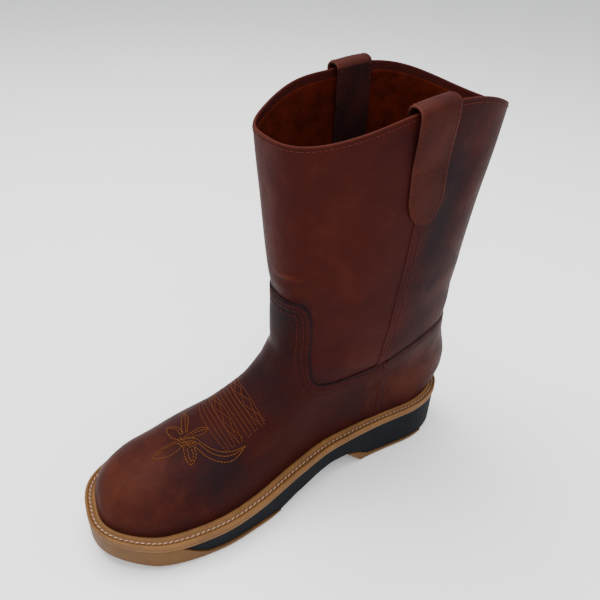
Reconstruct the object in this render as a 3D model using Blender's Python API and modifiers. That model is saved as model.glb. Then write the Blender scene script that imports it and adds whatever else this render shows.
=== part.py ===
"""Western work boot for the right foot: a pull-on upper with a vamp, a heel counter and two
pull straps, on a stitched welt, a midsole strip, a black wedge and a tan rubber tread.

Metres, +Z up, +X towards the toe, +Y towards the inner side of the foot.
The origin is on the floor, under the middle of the heel.
"""
from collections import namedtuple

import bmesh
import bpy
import numpy as np

# Driving sizes
LENGTH = 0.302                # outsole from heel to toe
BALL_WIDTH = 0.0866           # inner upper across the ball, where it meets the welt
COLLAR_WIDTH = 0.097          # shaft across the pull straps
UPPER_HEIGHT = 0.245          # collar above the welt, at the front
COLLAR_RISE = 0.0194          # how far the sides of the collar stand above its front and back
WALL = 0.0022                 # leather and lining of the upper
OVERLAY = 0.0014              # leather of the vamp and the counter
GAP = 0.0003                  # between pieces that touch

# Sole sizes
HEEL_HEIGHT = 0.0409          # welt top above the floor, at the back
FOREFOOT_HEIGHT = 0.0228      # welt top above the floor, at the ball
TOE_SPRING = 0.011            # tread above the floor, at the tip of the toe
ARCH_RISE = 0.0155            # waist above the floor
WELT_REACH = 0.0107           # welt beyond the inner upper, at the forefoot
HEEL_REACH = 0.0077           # welt beyond the inner upper, at the heel
WELT_THICKNESS = 0.003
WELT_LIP = 0.0005             # inner ridge of the welt above its outer edge
WELT_GROOVE = 0.0011          # depth of the stitch groove in the welt
MIDSOLE_THICKNESS = 0.0025
TREAD_THICKNESS = 0.0045
WEDGE_RECESS = 0.0008         # black wedge behind the edge of the midsole
SOLE_ROUNDING = 0.0026        # rounded lower edge of the tread
LUG_DEPTH = 0.002
LUG_GROOVE = 0.0035
LUG_PITCH = 0.0125
LUG_MARGIN = 0.011            # plain edge of the tread outside its grooves
INSOLE_THICKNESS = 0.004
INSOLE_CLEARANCE = 0.0006

# Last sizes
TOE_ROUND = 0.044             # length of the rounded toe
HEEL_ROUND = 0.040            # length of the rounded heel
TOE_SLANT = 0.14              # how far the inner side of the toe runs ahead of the outer side
SLANT_FROM = 0.75             # share of LENGTH where that slant begins
SHAFT_SHIFT = 0.0023          # shaft towards the inner side
HEEL_SHEAR = 0.1              # length over which the heel's outline follows its back in or out
TOE_SQUARE = 2.6              # exponents of the rounded outlines: 2 is an ellipse, more is squarer
HEEL_SQUARE = 2.1
FOOT_SQUARE = 2.2
SHAFT_SQUARE = 2.3
HEEL_CENTRE = 0.0450          # origin in front of the back of the sole

# Straps and side seams
STRAP_WIDTH = 0.031
STRAP_THICKNESS = 0.0022
STRAP_PLACE = 0.295           # share of LENGTH
STRAP_OUTSIDE = 0.078         # from the collar to the lower end, outside
STRAP_INSIDE = 0.066          # from the collar to the lower end, inside
STRAP_SEWN = 0.036            # sewn part of the outer leg
STRAP_SPREAD = 0.0062         # gap between the wall and the strap, at the collar
STRAP_CROWN = 0.0036          # gap between the collar and the top of the strap
SEAM_WIDTH = 0.0085
SEAM_THICKNESS = 0.0009

# Grid sizes
LEVELS = 19                   # rings of the upper above the welt
HALF_RING = 27                # points of a ring, from toe to heel
SOLE_STEP = 0.0015            # stations of the sole closer than this to a bend are left out
END_ZONE = 0.015              # rounded end of a plate, where its layers differ in length
DENSE = 500                   # points of a ring before it is spaced evenly

Plan = namedtuple("Plan", "along inner outer")
Level = namedtuple("Level", "front_along front_height back_along back_height half_width")
Line = namedtuple("Line", "along rise lift")
Mark = namedtuple("Mark", "along height")

# Where the upper meets the welt: half widths as shares of BALL_WIDTH, along as a share of LENGTH
PLAN = [
    Plan(0.050, 0.275, 0.298),
    Plan(0.150, 0.286, 0.321),
    Plan(0.270, 0.275, 0.315),
    Plan(0.390, 0.281, 0.327),
    Plan(0.515, 0.350, 0.385),
    Plan(0.635, 0.448, 0.465),
    Plan(0.735, 0.494, 0.508),
    Plan(0.840, 0.462, 0.477),
    Plan(0.930, 0.356, 0.396),
    Plan(1.000, 0.269, 0.350),
]

# Side view of the upper, from the welt to the collar: heights above the welt as shares of
# UPPER_HEIGHT, half widths of the shaft as shares of COLLAR_WIDTH
PROFILE = [
    Level(0.9632, 0.0245, 0.0119, 0.0245, 0.343),
    Level(0.9570, 0.0500, -0.0013, 0.0530, 0.343),
    Level(0.9338, 0.0870, -0.0093, 0.0820, 0.343),
    Level(0.8841, 0.1200, -0.0086, 0.1140, 0.343),
    Level(0.7831, 0.1560, -0.0003, 0.1510, 0.343),
    Level(0.6821, 0.2010, 0.0142, 0.2000, 0.343),
    Level(0.5954, 0.2490, 0.0265, 0.2490, 0.343),
    Level(0.5397, 0.3110, 0.0325, 0.3100, 0.356),
    Level(0.5175, 0.4080, 0.0298, 0.3960, 0.371),
    Level(0.5136, 0.5350, 0.0272, 0.5060, 0.407),
    Level(0.5215, 0.6900, 0.0162, 0.6490, 0.443),
    Level(0.5371, 0.8450, 0.0020, 0.8040, 0.474),
    Level(0.5546, 1.0000, -0.0119, 0.9710, 0.500),
]
FOOT_ALONG = (0.0255, 0.9646)     # back and front of the upper on the welt
OVERLAY_FROM = 1.35               # level row where the vamp and the counter begin, over the welt
SHAFT_FROM = 0.443                # level where the foot begins to turn into the shaft
SHAFT_AT = 0.714                  # level where the section is all shaft
SHIFT_LEVELS = (0.30, 0.65)       # levels over which the shaft's shift grows
FOLLOW_LEVELS = (0.10, 0.46)      # levels over which the rings leave the welt's bend
SCALLOP_FROM = 0.64               # level where the rise of the collar's sides begins
SCALLOP_LEAN = 1.36               # over 1 puts the highest point of the collar behind its middle
THROAT = 0.560                    # share of LENGTH where the top of the foot turns up
THROAT_BEND = 80.0                # how fast it steepens behind there, per metre
WELT_LEVEL = 1.0 / (len(PROFILE) + 1)   # level at the top of the welt

# Top of the welt: rise is a share of HEEL_HEIGHT over FOREFOOT_HEIGHT, lift of TOE_SPRING
WELT_LINE = [
    Line(0.00, 1.00, 0.00),
    Line(0.15, 0.92, 0.00),
    Line(0.30, 0.86, 0.00),
    Line(0.42, 0.72, 0.00),
    Line(0.55, 0.36, 0.00),
    Line(0.68, 0.05, 0.00),
    Line(0.80, 0.00, 0.00),
    Line(0.90, 0.00, 0.25),
    Line(1.00, 0.00, 0.75),
]

# Underside of the sole ahead of the heel: rise is a share of ARCH_RISE, lift of TOE_SPRING
WAIST_LINE = [
    Line(0.345, 1.00, 0.00),
    Line(0.390, 1.00, 0.00),
    Line(0.430, 0.88, 0.00),
    Line(0.500, 0.52, 0.00),
    Line(0.570, 0.12, 0.00),
    Line(0.610, 0.01, 0.00),
    Line(0.640, 0.00, 0.00),
    Line(0.740, 0.00, 0.00),
    Line(0.860, 0.00, 0.18),
    Line(1.000, 0.00, 1.00),
]

# Top of the tread: rise is a share of TREAD_THICKNESS above the underside, lift is the share of
# what is left up to the midsole
TREAD_LINE = [
    Line(0.570, 0.30, 0.00),
    Line(0.620, 0.90, 0.00),
    Line(0.700, 1.00, 0.00),
    Line(0.745, 1.00, 0.05),
    Line(0.770, 1.00, 0.34),
    Line(0.790, 1.00, 0.74),
    Line(0.800, 1.00, 0.93),
    Line(0.803, 1.00, 1.00),
    Line(1.000, 1.00, 1.00),
]
TREAD_BACK = 0.570
WEDGE_TIP = 0.800

# Heel tread: rise is a share of ARCH_RISE, lift of TREAD_THICKNESS
HEEL_FLOOR = [Line(0.085, 0.0, 0.0), Line(0.300, 0.0, 0.0), Line(0.345, 0.9, 0.0)]
HEEL_TOP = [
    Line(0.085, 0.0, 0.55),
    Line(0.120, 0.0, 0.90),
    Line(0.240, 0.0, 1.00),
    Line(0.280, 0.1, 1.00),
    Line(0.305, 0.4, 1.00),
    Line(0.345, 1.0, 0.00),
]
HEEL_BACK = 0.085
HEEL_BREAST = 0.345
HEEL_BEVEL = [Line(0.000, 0.60, 0.0), Line(0.030, 0.27, 0.0), Line(0.085, 0.0, 0.55)]

# Edge of the vamp and of the counter in side view: heights as shares of UPPER_HEIGHT
VAMP_EDGE = [
    Mark(0.600, 0.600), Mark(0.530, 0.570), Mark(0.504, 0.569), Mark(0.492, 0.560),
    Mark(0.483, 0.537), Mark(0.475, 0.490), Mark(0.473, 0.410), Mark(0.474, 0.330),
    Mark(0.469, 0.292), Mark(0.455, 0.266), Mark(0.430, 0.252), Mark(0.380, 0.236),
    Mark(0.310, 0.222), Mark(0.243, 0.214), Mark(0.240, 0.140), Mark(0.238, 0.060),
    Mark(0.237, -0.05), Mark(1.050, -0.05), Mark(1.050, 0.600),
]
COUNTER_EDGE = [
    Mark(0.237, -0.05), Mark(0.238, 0.060), Mark(0.240, 0.140), Mark(0.243, 0.222),
    Mark(0.241, 0.246), Mark(0.200, 0.268), Mark(0.155, 0.281), Mark(0.100, 0.281),
    Mark(0.040, 0.272), Mark(-0.060, 0.262), Mark(-0.060, -0.05),
]
VAMP_TOP = 0.84                   # level above the top of the vamp's tongue
COUNTER_TOP = 0.62                # level above the top of the counter
SEAM_MARKS = (0.262, 0.710)       # lower and upper end of a side seam, above the welt

PALETTE = {
    "leather": ((0.070, 0.018, 0.014), 0.55),
    "overlay_leather": ((0.085, 0.022, 0.016), 0.5),
    "strap_leather": ((0.075, 0.026, 0.021), 0.55),
    "welt_tan": ((0.26, 0.15, 0.06), 0.6),
    "gum_rubber": ((0.22, 0.12, 0.035), 0.6),
    "black_foam": ((0.012, 0.015, 0.022), 0.65),
    "insole_board": ((0.09, 0.05, 0.03), 0.85),
}


def clear_scene():
    """Empty the file of the objects it opened with."""
    for item in list(bpy.data.objects):
        bpy.data.objects.remove(item, do_unlink=True)


def collection(name):
    """A new collection in the scene."""
    group = bpy.data.collections.new(name)
    bpy.context.scene.collection.children.link(group)
    return group


def material(name):
    """A plain Principled material from PALETTE."""
    colour, roughness = PALETTE[name]
    made = bpy.data.materials.get(name)
    if made is None:
        made = bpy.data.materials.new(name)
        made.use_nodes = True
        shader = made.node_tree.nodes["Principled BSDF"]
        shader.inputs["Base Color"].default_value = (*colour, 1.0)
        shader.inputs["Roughness"].default_value = roughness
        shader.inputs["Metallic"].default_value = 0.0
    return made


def smoothstep(value):
    """0 to 1 with level ends."""
    value = np.clip(value, 0.0, 1.0)
    return value * value * (3.0 - 2.0 * value)


def ramp(value, low, high):
    """0 below low, 1 above high, with level ends."""
    return smoothstep((value - low) / (high - low))


def smooth_curve(knots, heights, at):
    """Curve through the knots that never swings past them (cubic with limited slopes)."""
    knots = np.asarray(knots, float)
    heights = np.asarray(heights, float)
    steps = np.diff(knots)
    slopes = np.diff(heights) / steps
    tangents = np.zeros(len(knots))
    before = slopes[:-1]
    after = slopes[1:]
    same = before * after > 0
    weight_a = 2 * steps[1:] + steps[:-1]
    weight_b = steps[1:] + 2 * steps[:-1]
    safe_before = np.where(same, before, 1.0)
    safe_after = np.where(same, after, 1.0)
    mean = (weight_a + weight_b) / (weight_a / safe_before + weight_b / safe_after)
    tangents[1:-1] = np.where(same, mean, 0.0)
    tangents[0] = slopes[0]
    tangents[-1] = slopes[-1]
    at = np.clip(at, knots[0], knots[-1])
    cell = np.clip(np.searchsorted(knots, at, side="right") - 1, 0, len(steps) - 1)
    size = steps[cell]
    part = (at - knots[cell]) / size
    square = part * part
    cube = square * part
    return (
        heights[cell] * (2 * cube - 3 * square + 1)
        + size * tangents[cell] * (cube - 2 * square + part)
        + heights[cell + 1] * (3 * square - 2 * cube)
        + size * tangents[cell + 1] * (cube - square)
    )


def column(table, name):
    """One named column of a table."""
    return [getattr(row, name) for row in table]


def line_height(table, x, rise, lift):
    """Height of a line of the sole at x, measured from the back of the sole."""
    along = column(table, "along")
    share = x / LENGTH
    return rise * smooth_curve(along, column(table, "rise"), share) + lift * smooth_curve(
        along, column(table, "lift"), share
    )


def welt_top(x):
    """Height of the welt's top above the floor."""
    return FOREFOOT_HEIGHT + line_height(WELT_LINE, x, HEEL_HEIGHT - FOREFOOT_HEIGHT, TOE_SPRING)


def midsole_top(x):
    return welt_top(x) - WELT_THICKNESS


def midsole_bottom(x):
    return midsole_top(x) - MIDSOLE_THICKNESS


def tread_bottom(x):
    """Underside of the waist and of the forefoot tread."""
    return line_height(WAIST_LINE, x, ARCH_RISE, TOE_SPRING)


def tread_top(x):
    """Upper face of the forefoot tread, which climbs to the midsole at the toe."""
    along = column(TREAD_LINE, "along")
    share = x / LENGTH
    thin = tread_bottom(x) + TREAD_THICKNESS * smooth_curve(along, column(TREAD_LINE, "rise"), share)
    climb = np.interp(share, along, column(TREAD_LINE, "lift"))
    return thin + climb * (midsole_bottom(x) - GAP - thin)


def heel_bottom(x):
    along = column(HEEL_FLOOR, "along")
    return ARCH_RISE * np.interp(x / LENGTH, along, column(HEEL_FLOOR, "rise"))


def heel_top(x):
    along = column(HEEL_TOP, "along")
    share = x / LENGTH
    return ARCH_RISE * np.interp(share, along, column(HEEL_TOP, "rise")) + TREAD_THICKNESS * np.interp(
        share, along, column(HEEL_TOP, "lift")
    )


def wedge_bottom(x):
    """Lower face of the black wedge: bevelled behind the heel, then over the treads and the waist."""
    bevel = line_height(HEEL_BEVEL, x, ARCH_RISE, TREAD_THICKNESS)
    share = x / LENGTH
    height = np.where(share < HEEL_BACK - 1e-6, bevel, heel_top(x))
    height = np.where(share > HEEL_BREAST, tread_bottom(x), height)
    height = np.where(share > TREAD_BACK - 1e-6, tread_top(x), height)
    return height + GAP


def closing(share, square):
    """Half width of a rounded end: 1 where it starts, 0 at its tip."""
    return (1 - share**square) ** (1 / square)


def half_plan(x, side):
    """Half width of the upper at the welt: the table, closed by a rounded toe and heel."""
    name = "inner" if side > 0 else "outer"
    back = FOOT_ALONG[0] * LENGTH
    tip = FOOT_ALONG[1] * LENGTH
    width = BALL_WIDTH * smooth_curve(column(PLAN, "along"), column(PLAN, name), x / LENGTH)
    toe = np.clip((x - (tip - TOE_ROUND)) / TOE_ROUND, 0.0, 1.0)
    heel = np.clip((back + HEEL_ROUND - x) / HEEL_ROUND, 0.0, 1.0)
    return width * closing(toe, TOE_SQUARE) * closing(heel, HEEL_SQUARE)


def profile(name):
    """A column of PROFILE, with the two levels held by the welt put under it."""
    edge = {
        "front_along": (FOOT_ALONG[1], FOOT_ALONG[1]),
        "back_along": (FOOT_ALONG[0], FOOT_ALONG[0]),
        "half_width": (PROFILE[0].half_width, PROFILE[0].half_width),
    }
    low = ((GAP - WELT_THICKNESS) / UPPER_HEIGHT, (WELT_LIP + 2 * GAP) / UPPER_HEIGHT)
    return np.array([*edge.get(name, low), *column(PROFILE, name)])


def level_value(name, level):
    """A profile column at a level from 0, on the midsole, to 1, at the collar."""
    values = profile(name)
    return smooth_curve(np.linspace(0, 1, len(values)), values, level)


def foot_top(x):
    """Height of the top of the foot above the floor, steepened behind the throat."""
    level = np.linspace(WELT_LEVEL, SHAFT_AT, DENSE)
    along = level_value("front_along", level) * LENGTH
    height = welt_top(along) + level_value("front_height", level) * UPPER_HEIGHT
    order = np.argsort(along)
    along = along[order]
    height = height[order]
    turn = THROAT * LENGTH
    step = 0.002
    start = np.interp(turn, along, height)
    slope = (start - np.interp(turn + step, along, height)) / step
    past = np.clip(turn - x, 0.0, None)
    return np.where(x >= turn, np.interp(x, along, height), start + slope * past + THROAT_BEND * past**2)


def skin(level, across, side):
    """Point of the upper: level 0 to 1 from midsole to collar, across 0 to 1 from front to back.

    The level's line joins its front and back points. Low down, its width is the plan rounded
    over towards the top of the foot; in the shaft it is an oval; between, the two are blended.
    """
    level, across = np.broadcast_arrays(np.asarray(level, float), np.asarray(across, float))
    front = level_value("front_along", level) * LENGTH
    back = level_value("back_along", level) * LENGTH
    front_height = level_value("front_height", level) * UPPER_HEIGHT
    back_height = level_value("back_height", level) * UPPER_HEIGHT
    x = front + (back - front) * across
    above = front_height + (back_height - front_height) * across
    straight = (welt_top(front) + front_height) * (1 - across) + (welt_top(back) + back_height) * across
    follow = 1 - ramp(level, *FOLLOW_LEVELS)
    z = straight * (1 - follow) + (welt_top(x) + above) * follow
    scallop = np.clip((level - SCALLOP_FROM) / (1 - SCALLOP_FROM), 0.0, 1.0) ** 2
    z = z + COLLAR_RISE * scallop * np.sin(np.pi * across**SCALLOP_LEAN)

    edge = WELT_LIP + 2 * GAP
    rounding = (z - welt_top(x) - edge) / np.maximum(foot_top(x) - welt_top(x) - edge, 1e-5)
    rounding = np.where(level <= WELT_LEVEL, 0.0, np.clip(rounding, 0.0, 1.0))
    spread = (back - FOOT_ALONG[0] * LENGTH) * np.clip(1 - (x - back) / HEEL_SHEAR, 0.0, 1.0)
    foot = half_plan(x - spread, side) * closing(rounding, FOOT_SQUARE)
    oval = closing(np.minimum(np.abs(2 * across - 1), 1.0), SHAFT_SQUARE)
    shaft = level_value("half_width", level) * COLLAR_WIDTH * oval
    mix = ramp(level, SHAFT_FROM, SHAFT_AT)
    y = side * np.sqrt((1 - mix) * foot**2 + mix * shaft**2)
    ahead = np.clip((x / LENGTH - SLANT_FROM) / (1 - SLANT_FROM), 0.0, 1.0)
    x = x + TOE_SLANT * ahead * y
    y = y + SHAFT_SHIFT * ramp(level, *SHIFT_LEVELS)
    return np.stack([x - HEEL_CENTRE, y, z], axis=-1)


def evenly(points, count):
    """Points spaced evenly along a dense line."""
    passed = np.concatenate([[0.0], np.cumsum(np.linalg.norm(np.diff(points, axis=0), axis=1))])
    at = np.linspace(0.0, passed[-1], count)
    return np.stack([np.interp(at, passed, points[:, k]) for k in range(points.shape[1])], axis=1)


def ring(level, count=HALF_RING):
    """Closed ring of the upper: from the toe round the inner side to the heel and back."""
    even = np.linspace(0, 1, DENSE)
    across = 0.5 - 0.5 * np.cos(np.pi * (0.5 - 0.5 * np.cos(np.pi * even)))
    inner = evenly(skin(level, across, 1), count)
    outer = evenly(skin(level, across, -1), count)
    return np.concatenate([inner, outer[-2:0:-1]])


def normals(grid):
    """Outward normals of a closed grid of rings, rings from bottom to top."""
    around = np.roll(grid, -1, axis=1) - np.roll(grid, 1, axis=1)
    up = np.gradient(grid, axis=0)
    out = np.cross(around, up)
    length = np.linalg.norm(out, axis=-1, keepdims=True)
    return out / np.maximum(length, 1e-12)


def upper_levels():
    """Levels of the rings: on the midsole, at the welt's top, and up from where overlays begin."""
    return np.array([0.0, WELT_LEVEL, *np.linspace(OVERLAY_FROM * WELT_LEVEL, 1.0, LEVELS)])


def upper_grid():
    """Rings of the upper from the midsole to the collar."""
    return np.array([ring(level) for level in upper_levels()])


def new_object(name, vertices, faces, finish, group):
    """A mesh object with outward faces, doubles merged."""
    mesh = bpy.data.meshes.new(name)
    mesh.from_pydata([tuple(map(float, point)) for point in vertices], [], faces)
    work = bmesh.new()
    work.from_mesh(mesh)
    bmesh.ops.remove_doubles(work, verts=work.verts, dist=1e-6)
    bmesh.ops.dissolve_degenerate(work, edges=work.edges, dist=1e-7)
    bmesh.ops.recalc_face_normals(work, faces=work.faces)
    work.to_mesh(mesh)
    work.free()
    item = bpy.data.objects.new(name, mesh)
    item.data.materials.append(material(finish))
    group.objects.link(item)
    mesh.shade_smooth()
    mesh.set_sharp_from_angle(angle=np.radians(40))
    return item


def band_faces(rows, columns, closed):
    """Quads of a grid, wrapped round where closed."""
    faces = []
    for row in range(rows - 1):
        for step in range(columns if closed else columns - 1):
            after = (step + 1) % columns
            low = row * columns
            high = low + columns
            faces.append((low + step, low + after, high + after, high + step))
    return faces


def tube_object(name, grid, thickness, direction, finish, group):
    """An open surface of rings, given a wall by Solidify: inwards with -1, outwards with 1."""
    rows, columns = grid.shape[:2]
    faces = band_faces(rows, columns, True)
    mesh = bpy.data.meshes.new(name)
    mesh.from_pydata([tuple(map(float, point)) for point in grid.reshape(-1, 3)], [], faces)
    item = bpy.data.objects.new(name, mesh)
    item.data.materials.append(material(finish))
    group.objects.link(item)
    facing = face_direction(mesh)
    if facing < 0:
        mesh.flip_normals()
    wall = item.modifiers.new("Wall", "SOLIDIFY")
    wall.thickness = thickness
    wall.offset = direction
    wall.use_even_offset = False
    wall.use_rim = True
    mesh.shade_smooth()
    return item


def face_direction(mesh):
    """Positive where the faces of a standing tube point away from its middle."""
    middle = np.mean([tuple(vertex.co) for vertex in mesh.vertices], axis=0)
    total = 0.0
    for face in mesh.polygons:
        away = np.array(face.center) - middle
        total += float(np.dot(away[:2], np.array(face.normal)[:2])) * face.area
    return total


def side_cutter(name, marks, group):
    """A prism across the boot from an outline in side view, with heights above the welt."""
    outline = []
    for mark in marks:
        x = mark.along * LENGTH
        base = welt_top(np.clip(x, 0.0, LENGTH))
        outline.append((x - HEEL_CENTRE, float(base) + mark.height * UPPER_HEIGHT))
    count = len(outline)
    vertices = [(x, y, z) for y in (-BALL_WIDTH, BALL_WIDTH) for x, z in outline]
    faces = [tuple(range(count)), tuple(range(2 * count - 1, count - 1, -1))]
    for here in range(count):
        there = (here + 1) % count
        faces.append((here, there, count + there, count + here))
    cutter = new_object(name, vertices, faces, "leather", group)
    cutter.hide_render = True
    cutter.display_type = "WIRE"
    return cutter


def cut(item, cutter, operation):
    """A Boolean modifier with the exact solver."""
    change = item.modifiers.new(cutter.name, "BOOLEAN")
    change.operation = operation
    change.object = cutter
    change.solver = "EXACT"


def grow(marks, amount):
    """An outline moved inwards or outwards along its own normals, in metres."""
    points = np.array([(mark.along * LENGTH, mark.height * UPPER_HEIGHT) for mark in marks])
    before = points - np.roll(points, 1, axis=0)
    after = np.roll(points, -1, axis=0) - points
    before /= np.linalg.norm(before, axis=1, keepdims=True)
    after /= np.linalg.norm(after, axis=1, keepdims=True)
    mean = before + after
    mean /= np.linalg.norm(mean, axis=1, keepdims=True)
    area = np.sum(points[:, 0] * np.roll(points[:, 1], -1) - np.roll(points[:, 0], -1) * points[:, 1])
    out = np.stack([mean[:, 1], -mean[:, 0]], axis=1) * np.sign(area)
    moved = points + out * amount
    return [Mark(x / LENGTH, z / UPPER_HEIGHT) for x, z in moved]


def make_upper(grid, parts):
    """Hollow upper, open at the collar and underneath."""
    return tube_object("upper", grid, WALL, -1, "leather", parts)


def make_overlay(name, grid, top, marks, parts, cutters):
    """A shell over the upper, up to a level, cut to its outline in side view."""
    raised = grid + normals(grid) * GAP
    count = int(np.sum(upper_levels() < top))
    shell = tube_object(name, raised[2:count], OVERLAY, 1, "overlay_leather", parts)
    cut(shell, side_cutter(name + "_cutter", marks, cutters), "INTERSECT")


def wall_point(level, x, side):
    """Point and outward normal of the upper's outer face at a level and an x from the heel's back."""
    front = level_value("front_along", level) * LENGTH
    back = level_value("back_along", level) * LENGTH
    across = (front - x) / (front - back)
    step = 0.004
    here = skin(level, across, side)
    ahead = skin(level, across - step, side) - skin(level, across + step, side)
    up = skin(level, across, side) - skin(level - step, across, side)
    out = np.cross(ahead, up) * -side
    out = out / np.linalg.norm(out, axis=-1, keepdims=True)
    climb = up / np.linalg.norm(up, axis=-1, keepdims=True)
    return here, out, climb


def level_below_collar(depth, x, side):
    """Level that lies a length below the collar, measured along the wall."""
    levels = np.linspace(0.45, 1.0, 160)
    points = wall_point(levels, np.full_like(levels, x), side)[0]
    steps = np.linalg.norm(np.diff(points, axis=0), axis=1)
    left = np.concatenate([np.cumsum(steps[::-1])[::-1], [0.0]])
    return np.interp(depth, left[::-1], levels[::-1])


def slab(name, outer, inner, finish, group):
    """A closed sheet between two open grids of the same size."""
    rows, columns = outer.shape[:2]
    count = rows * columns
    vertices = np.concatenate([outer.reshape(-1, 3), inner.reshape(-1, 3)])
    sheet = band_faces(rows, columns, False)
    faces = list(sheet)
    faces += [tuple(count + corner for corner in reversed(face)) for face in sheet]
    rim = list(range(columns))
    rim += [row * columns + columns - 1 for row in range(1, rows)]
    rim += [(rows - 1) * columns + step for step in range(columns - 2, -1, -1)]
    rim += [row * columns for row in range(rows - 2, 0, -1)]
    for here, there in zip(rim, rim[1:] + rim[:1]):
        faces.append((there, here, count + here, count + there))
    return new_object(name, vertices, faces, finish, group)


def make_strap(name, side, parts):
    """Pull strap: sewn to the outside, free towards the collar, over it and down inside."""
    place = STRAP_PLACE * LENGTH
    half = STRAP_THICKNESS / 2
    close = GAP + half
    outside = STRAP_SPREAD + half
    depth = np.concatenate([
        np.linspace(STRAP_OUTSIDE, STRAP_OUTSIDE - STRAP_WIDTH / 2, 5),
        np.linspace(STRAP_OUTSIDE - STRAP_WIDTH / 2, 0.0, 9)[1:],
    ])
    free = smoothstep((STRAP_OUTSIDE - STRAP_SEWN - depth) / (STRAP_OUTSIDE - STRAP_SEWN))
    stand = close + (outside - close) * free
    turn = np.linspace(0, np.pi, 9)[1:-1]
    middle = -WALL / 2
    bow = outside - middle
    over_stand = middle + bow * np.cos(turn)
    over_rise = (STRAP_CROWN + half) * np.sin(turn) ** 0.8
    down = np.linspace(0.0, STRAP_INSIDE, 8)
    inner_stand = middle - bow + (outside - close) * smoothstep(down / STRAP_INSIDE)
    path_depth = np.concatenate([depth, np.zeros_like(turn), down])
    path_stand = np.concatenate([stand, over_stand, inner_stand])
    path_rise = np.concatenate([np.zeros_like(depth), over_rise, np.zeros_like(down)])
    edge_in = np.stack([path_stand, path_rise - path_depth], axis=1)
    along = np.gradient(edge_in, axis=0)
    along /= np.linalg.norm(along, axis=1, keepdims=True)
    across_path = np.stack([along[:, 1], -along[:, 0]], axis=1)
    end = (STRAP_OUTSIDE - depth) / (STRAP_WIDTH / 2)
    narrow = np.sqrt(np.clip(1 - (1 - np.clip(end, 0.02, 1.0)) ** 2, 0.04, 1.0))
    width = np.concatenate([narrow, np.ones(len(turn) + len(down))])
    columns = np.linspace(-1, 1, 5)
    faces = []
    for shift in (half, -half):
        grid = np.zeros((len(path_depth), len(columns), 3))
        for number, share in enumerate(columns):
            x = place + share * width * STRAP_WIDTH / 2
            level = level_below_collar(path_depth, place, side)
            base, out, climb = wall_point(level, x, side)
            stand_here = (path_stand + across_path[:, 0] * shift)[:, None]
            rise_here = (path_rise + across_path[:, 1] * shift)[:, None]
            grid[:, number] = base + out * stand_here + climb * rise_here
        faces.append(grid)
    return slab(name, faces[0], faces[1], "strap_leather", parts)


def make_seam(name, side, parts):
    """Raised strip along the side seam, between the counter and the pull strap."""
    place = STRAP_PLACE * LENGTH
    level = np.linspace(*[level_at_height(share, side) for share in SEAM_MARKS], 12)
    grids = []
    for stand in (GAP + SEAM_THICKNESS, GAP):
        grid = np.zeros((len(level), 3, 3))
        for number, share in enumerate((-1, 0, 1)):
            base, out, _ = wall_point(level, np.full_like(level, place + share * SEAM_WIDTH / 2), side)
            grid[:, number] = base + out * stand
        grids.append(grid)
    return slab(name, grids[0], grids[1], "leather", parts)


def level_at_height(share, side):
    """Level of the side wall at a height above the welt, at the side seam."""
    levels = np.linspace(0.3, 1.0, 200)
    x = STRAP_PLACE * LENGTH
    points = wall_point(levels, np.full_like(levels, x), side)[0]
    height = (points[:, 2] - welt_top(x)) / UPPER_HEIGHT
    return float(np.interp(share, height, levels))


def foot_loop(offset):
    """Outline of the upper at the welt, moved outwards by a length for each point."""
    loop = ring(WELT_LEVEL)[:, :2]
    along = np.roll(loop, -1, axis=0) - np.roll(loop, 1, axis=0)
    out = np.stack([-along[:, 1], along[:, 0]], axis=1)
    out /= np.linalg.norm(out, axis=1, keepdims=True)
    if np.sum(out[:, 0] * (loop[:, 0] - loop[:, 0].mean())) < 0:
        out = -out
    return loop + out * np.reshape(offset(loop[:, 0] + HEEL_CENTRE), (-1, 1))


def reach(x):
    """How far the sole stands out past the inner upper: less round the heel."""
    return HEEL_REACH + (WELT_REACH - HEEL_REACH) * smoothstep((x / LENGTH - 0.15) / 0.35)


def make_welt(parts):
    """Closed strip round the upper: an inner ridge, a stitch groove and a rounded outer edge."""
    low = GAP
    top = WELT_THICKNESS
    section = [
        (0.00, low), (0.00, top + WELT_LIP), (0.26, top + WELT_LIP), (0.38, top - WELT_GROOVE * 0.6),
        (0.52, top - WELT_GROOVE), (0.68, top - WELT_GROOVE * 0.3), (0.76, top), (0.93, top),
        (1.00, top * 0.8), (1.00, low),
    ]
    rings = []
    for share, height in section:
        loop = foot_loop(lambda x, share=share: GAP + (reach(x) - GAP) * share)
        z = midsole_top(station(loop)) + height
        rings.append(np.column_stack([loop, z]))
    grid = np.array(rings + rings[:1])
    rows, columns = grid.shape[:2]
    faces = band_faces(rows, columns, True)
    return new_object("welt", grid.reshape(-1, 3), faces, "welt_tan", parts)


def station(points):
    """Distance from the back of the sole along the foot, with the slant of the toe taken out."""
    x = points[:, 0] + HEEL_CENTRE
    start = SLANT_FROM * LENGTH
    lean = TOE_SLANT * points[:, 1] / (LENGTH - start)
    return np.where(x > start, (x + start * lean) / (1 + lean), x)


def side_lines(offset):
    """Inner and outer halves of an outline from toe to heel, each with its stations."""
    loop = foot_loop(offset)
    half = len(loop) // 2
    sides = (loop[: half + 1], np.concatenate([loop[:1], loop[:half - 1:-1]]))
    return [(line, np.minimum.accumulate(station(line))) for line in sides]


def reach_of(lines):
    """First and last station that both sides share."""
    return max(mark[-1] for _, mark in lines), lines[0][1][0]


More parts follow.
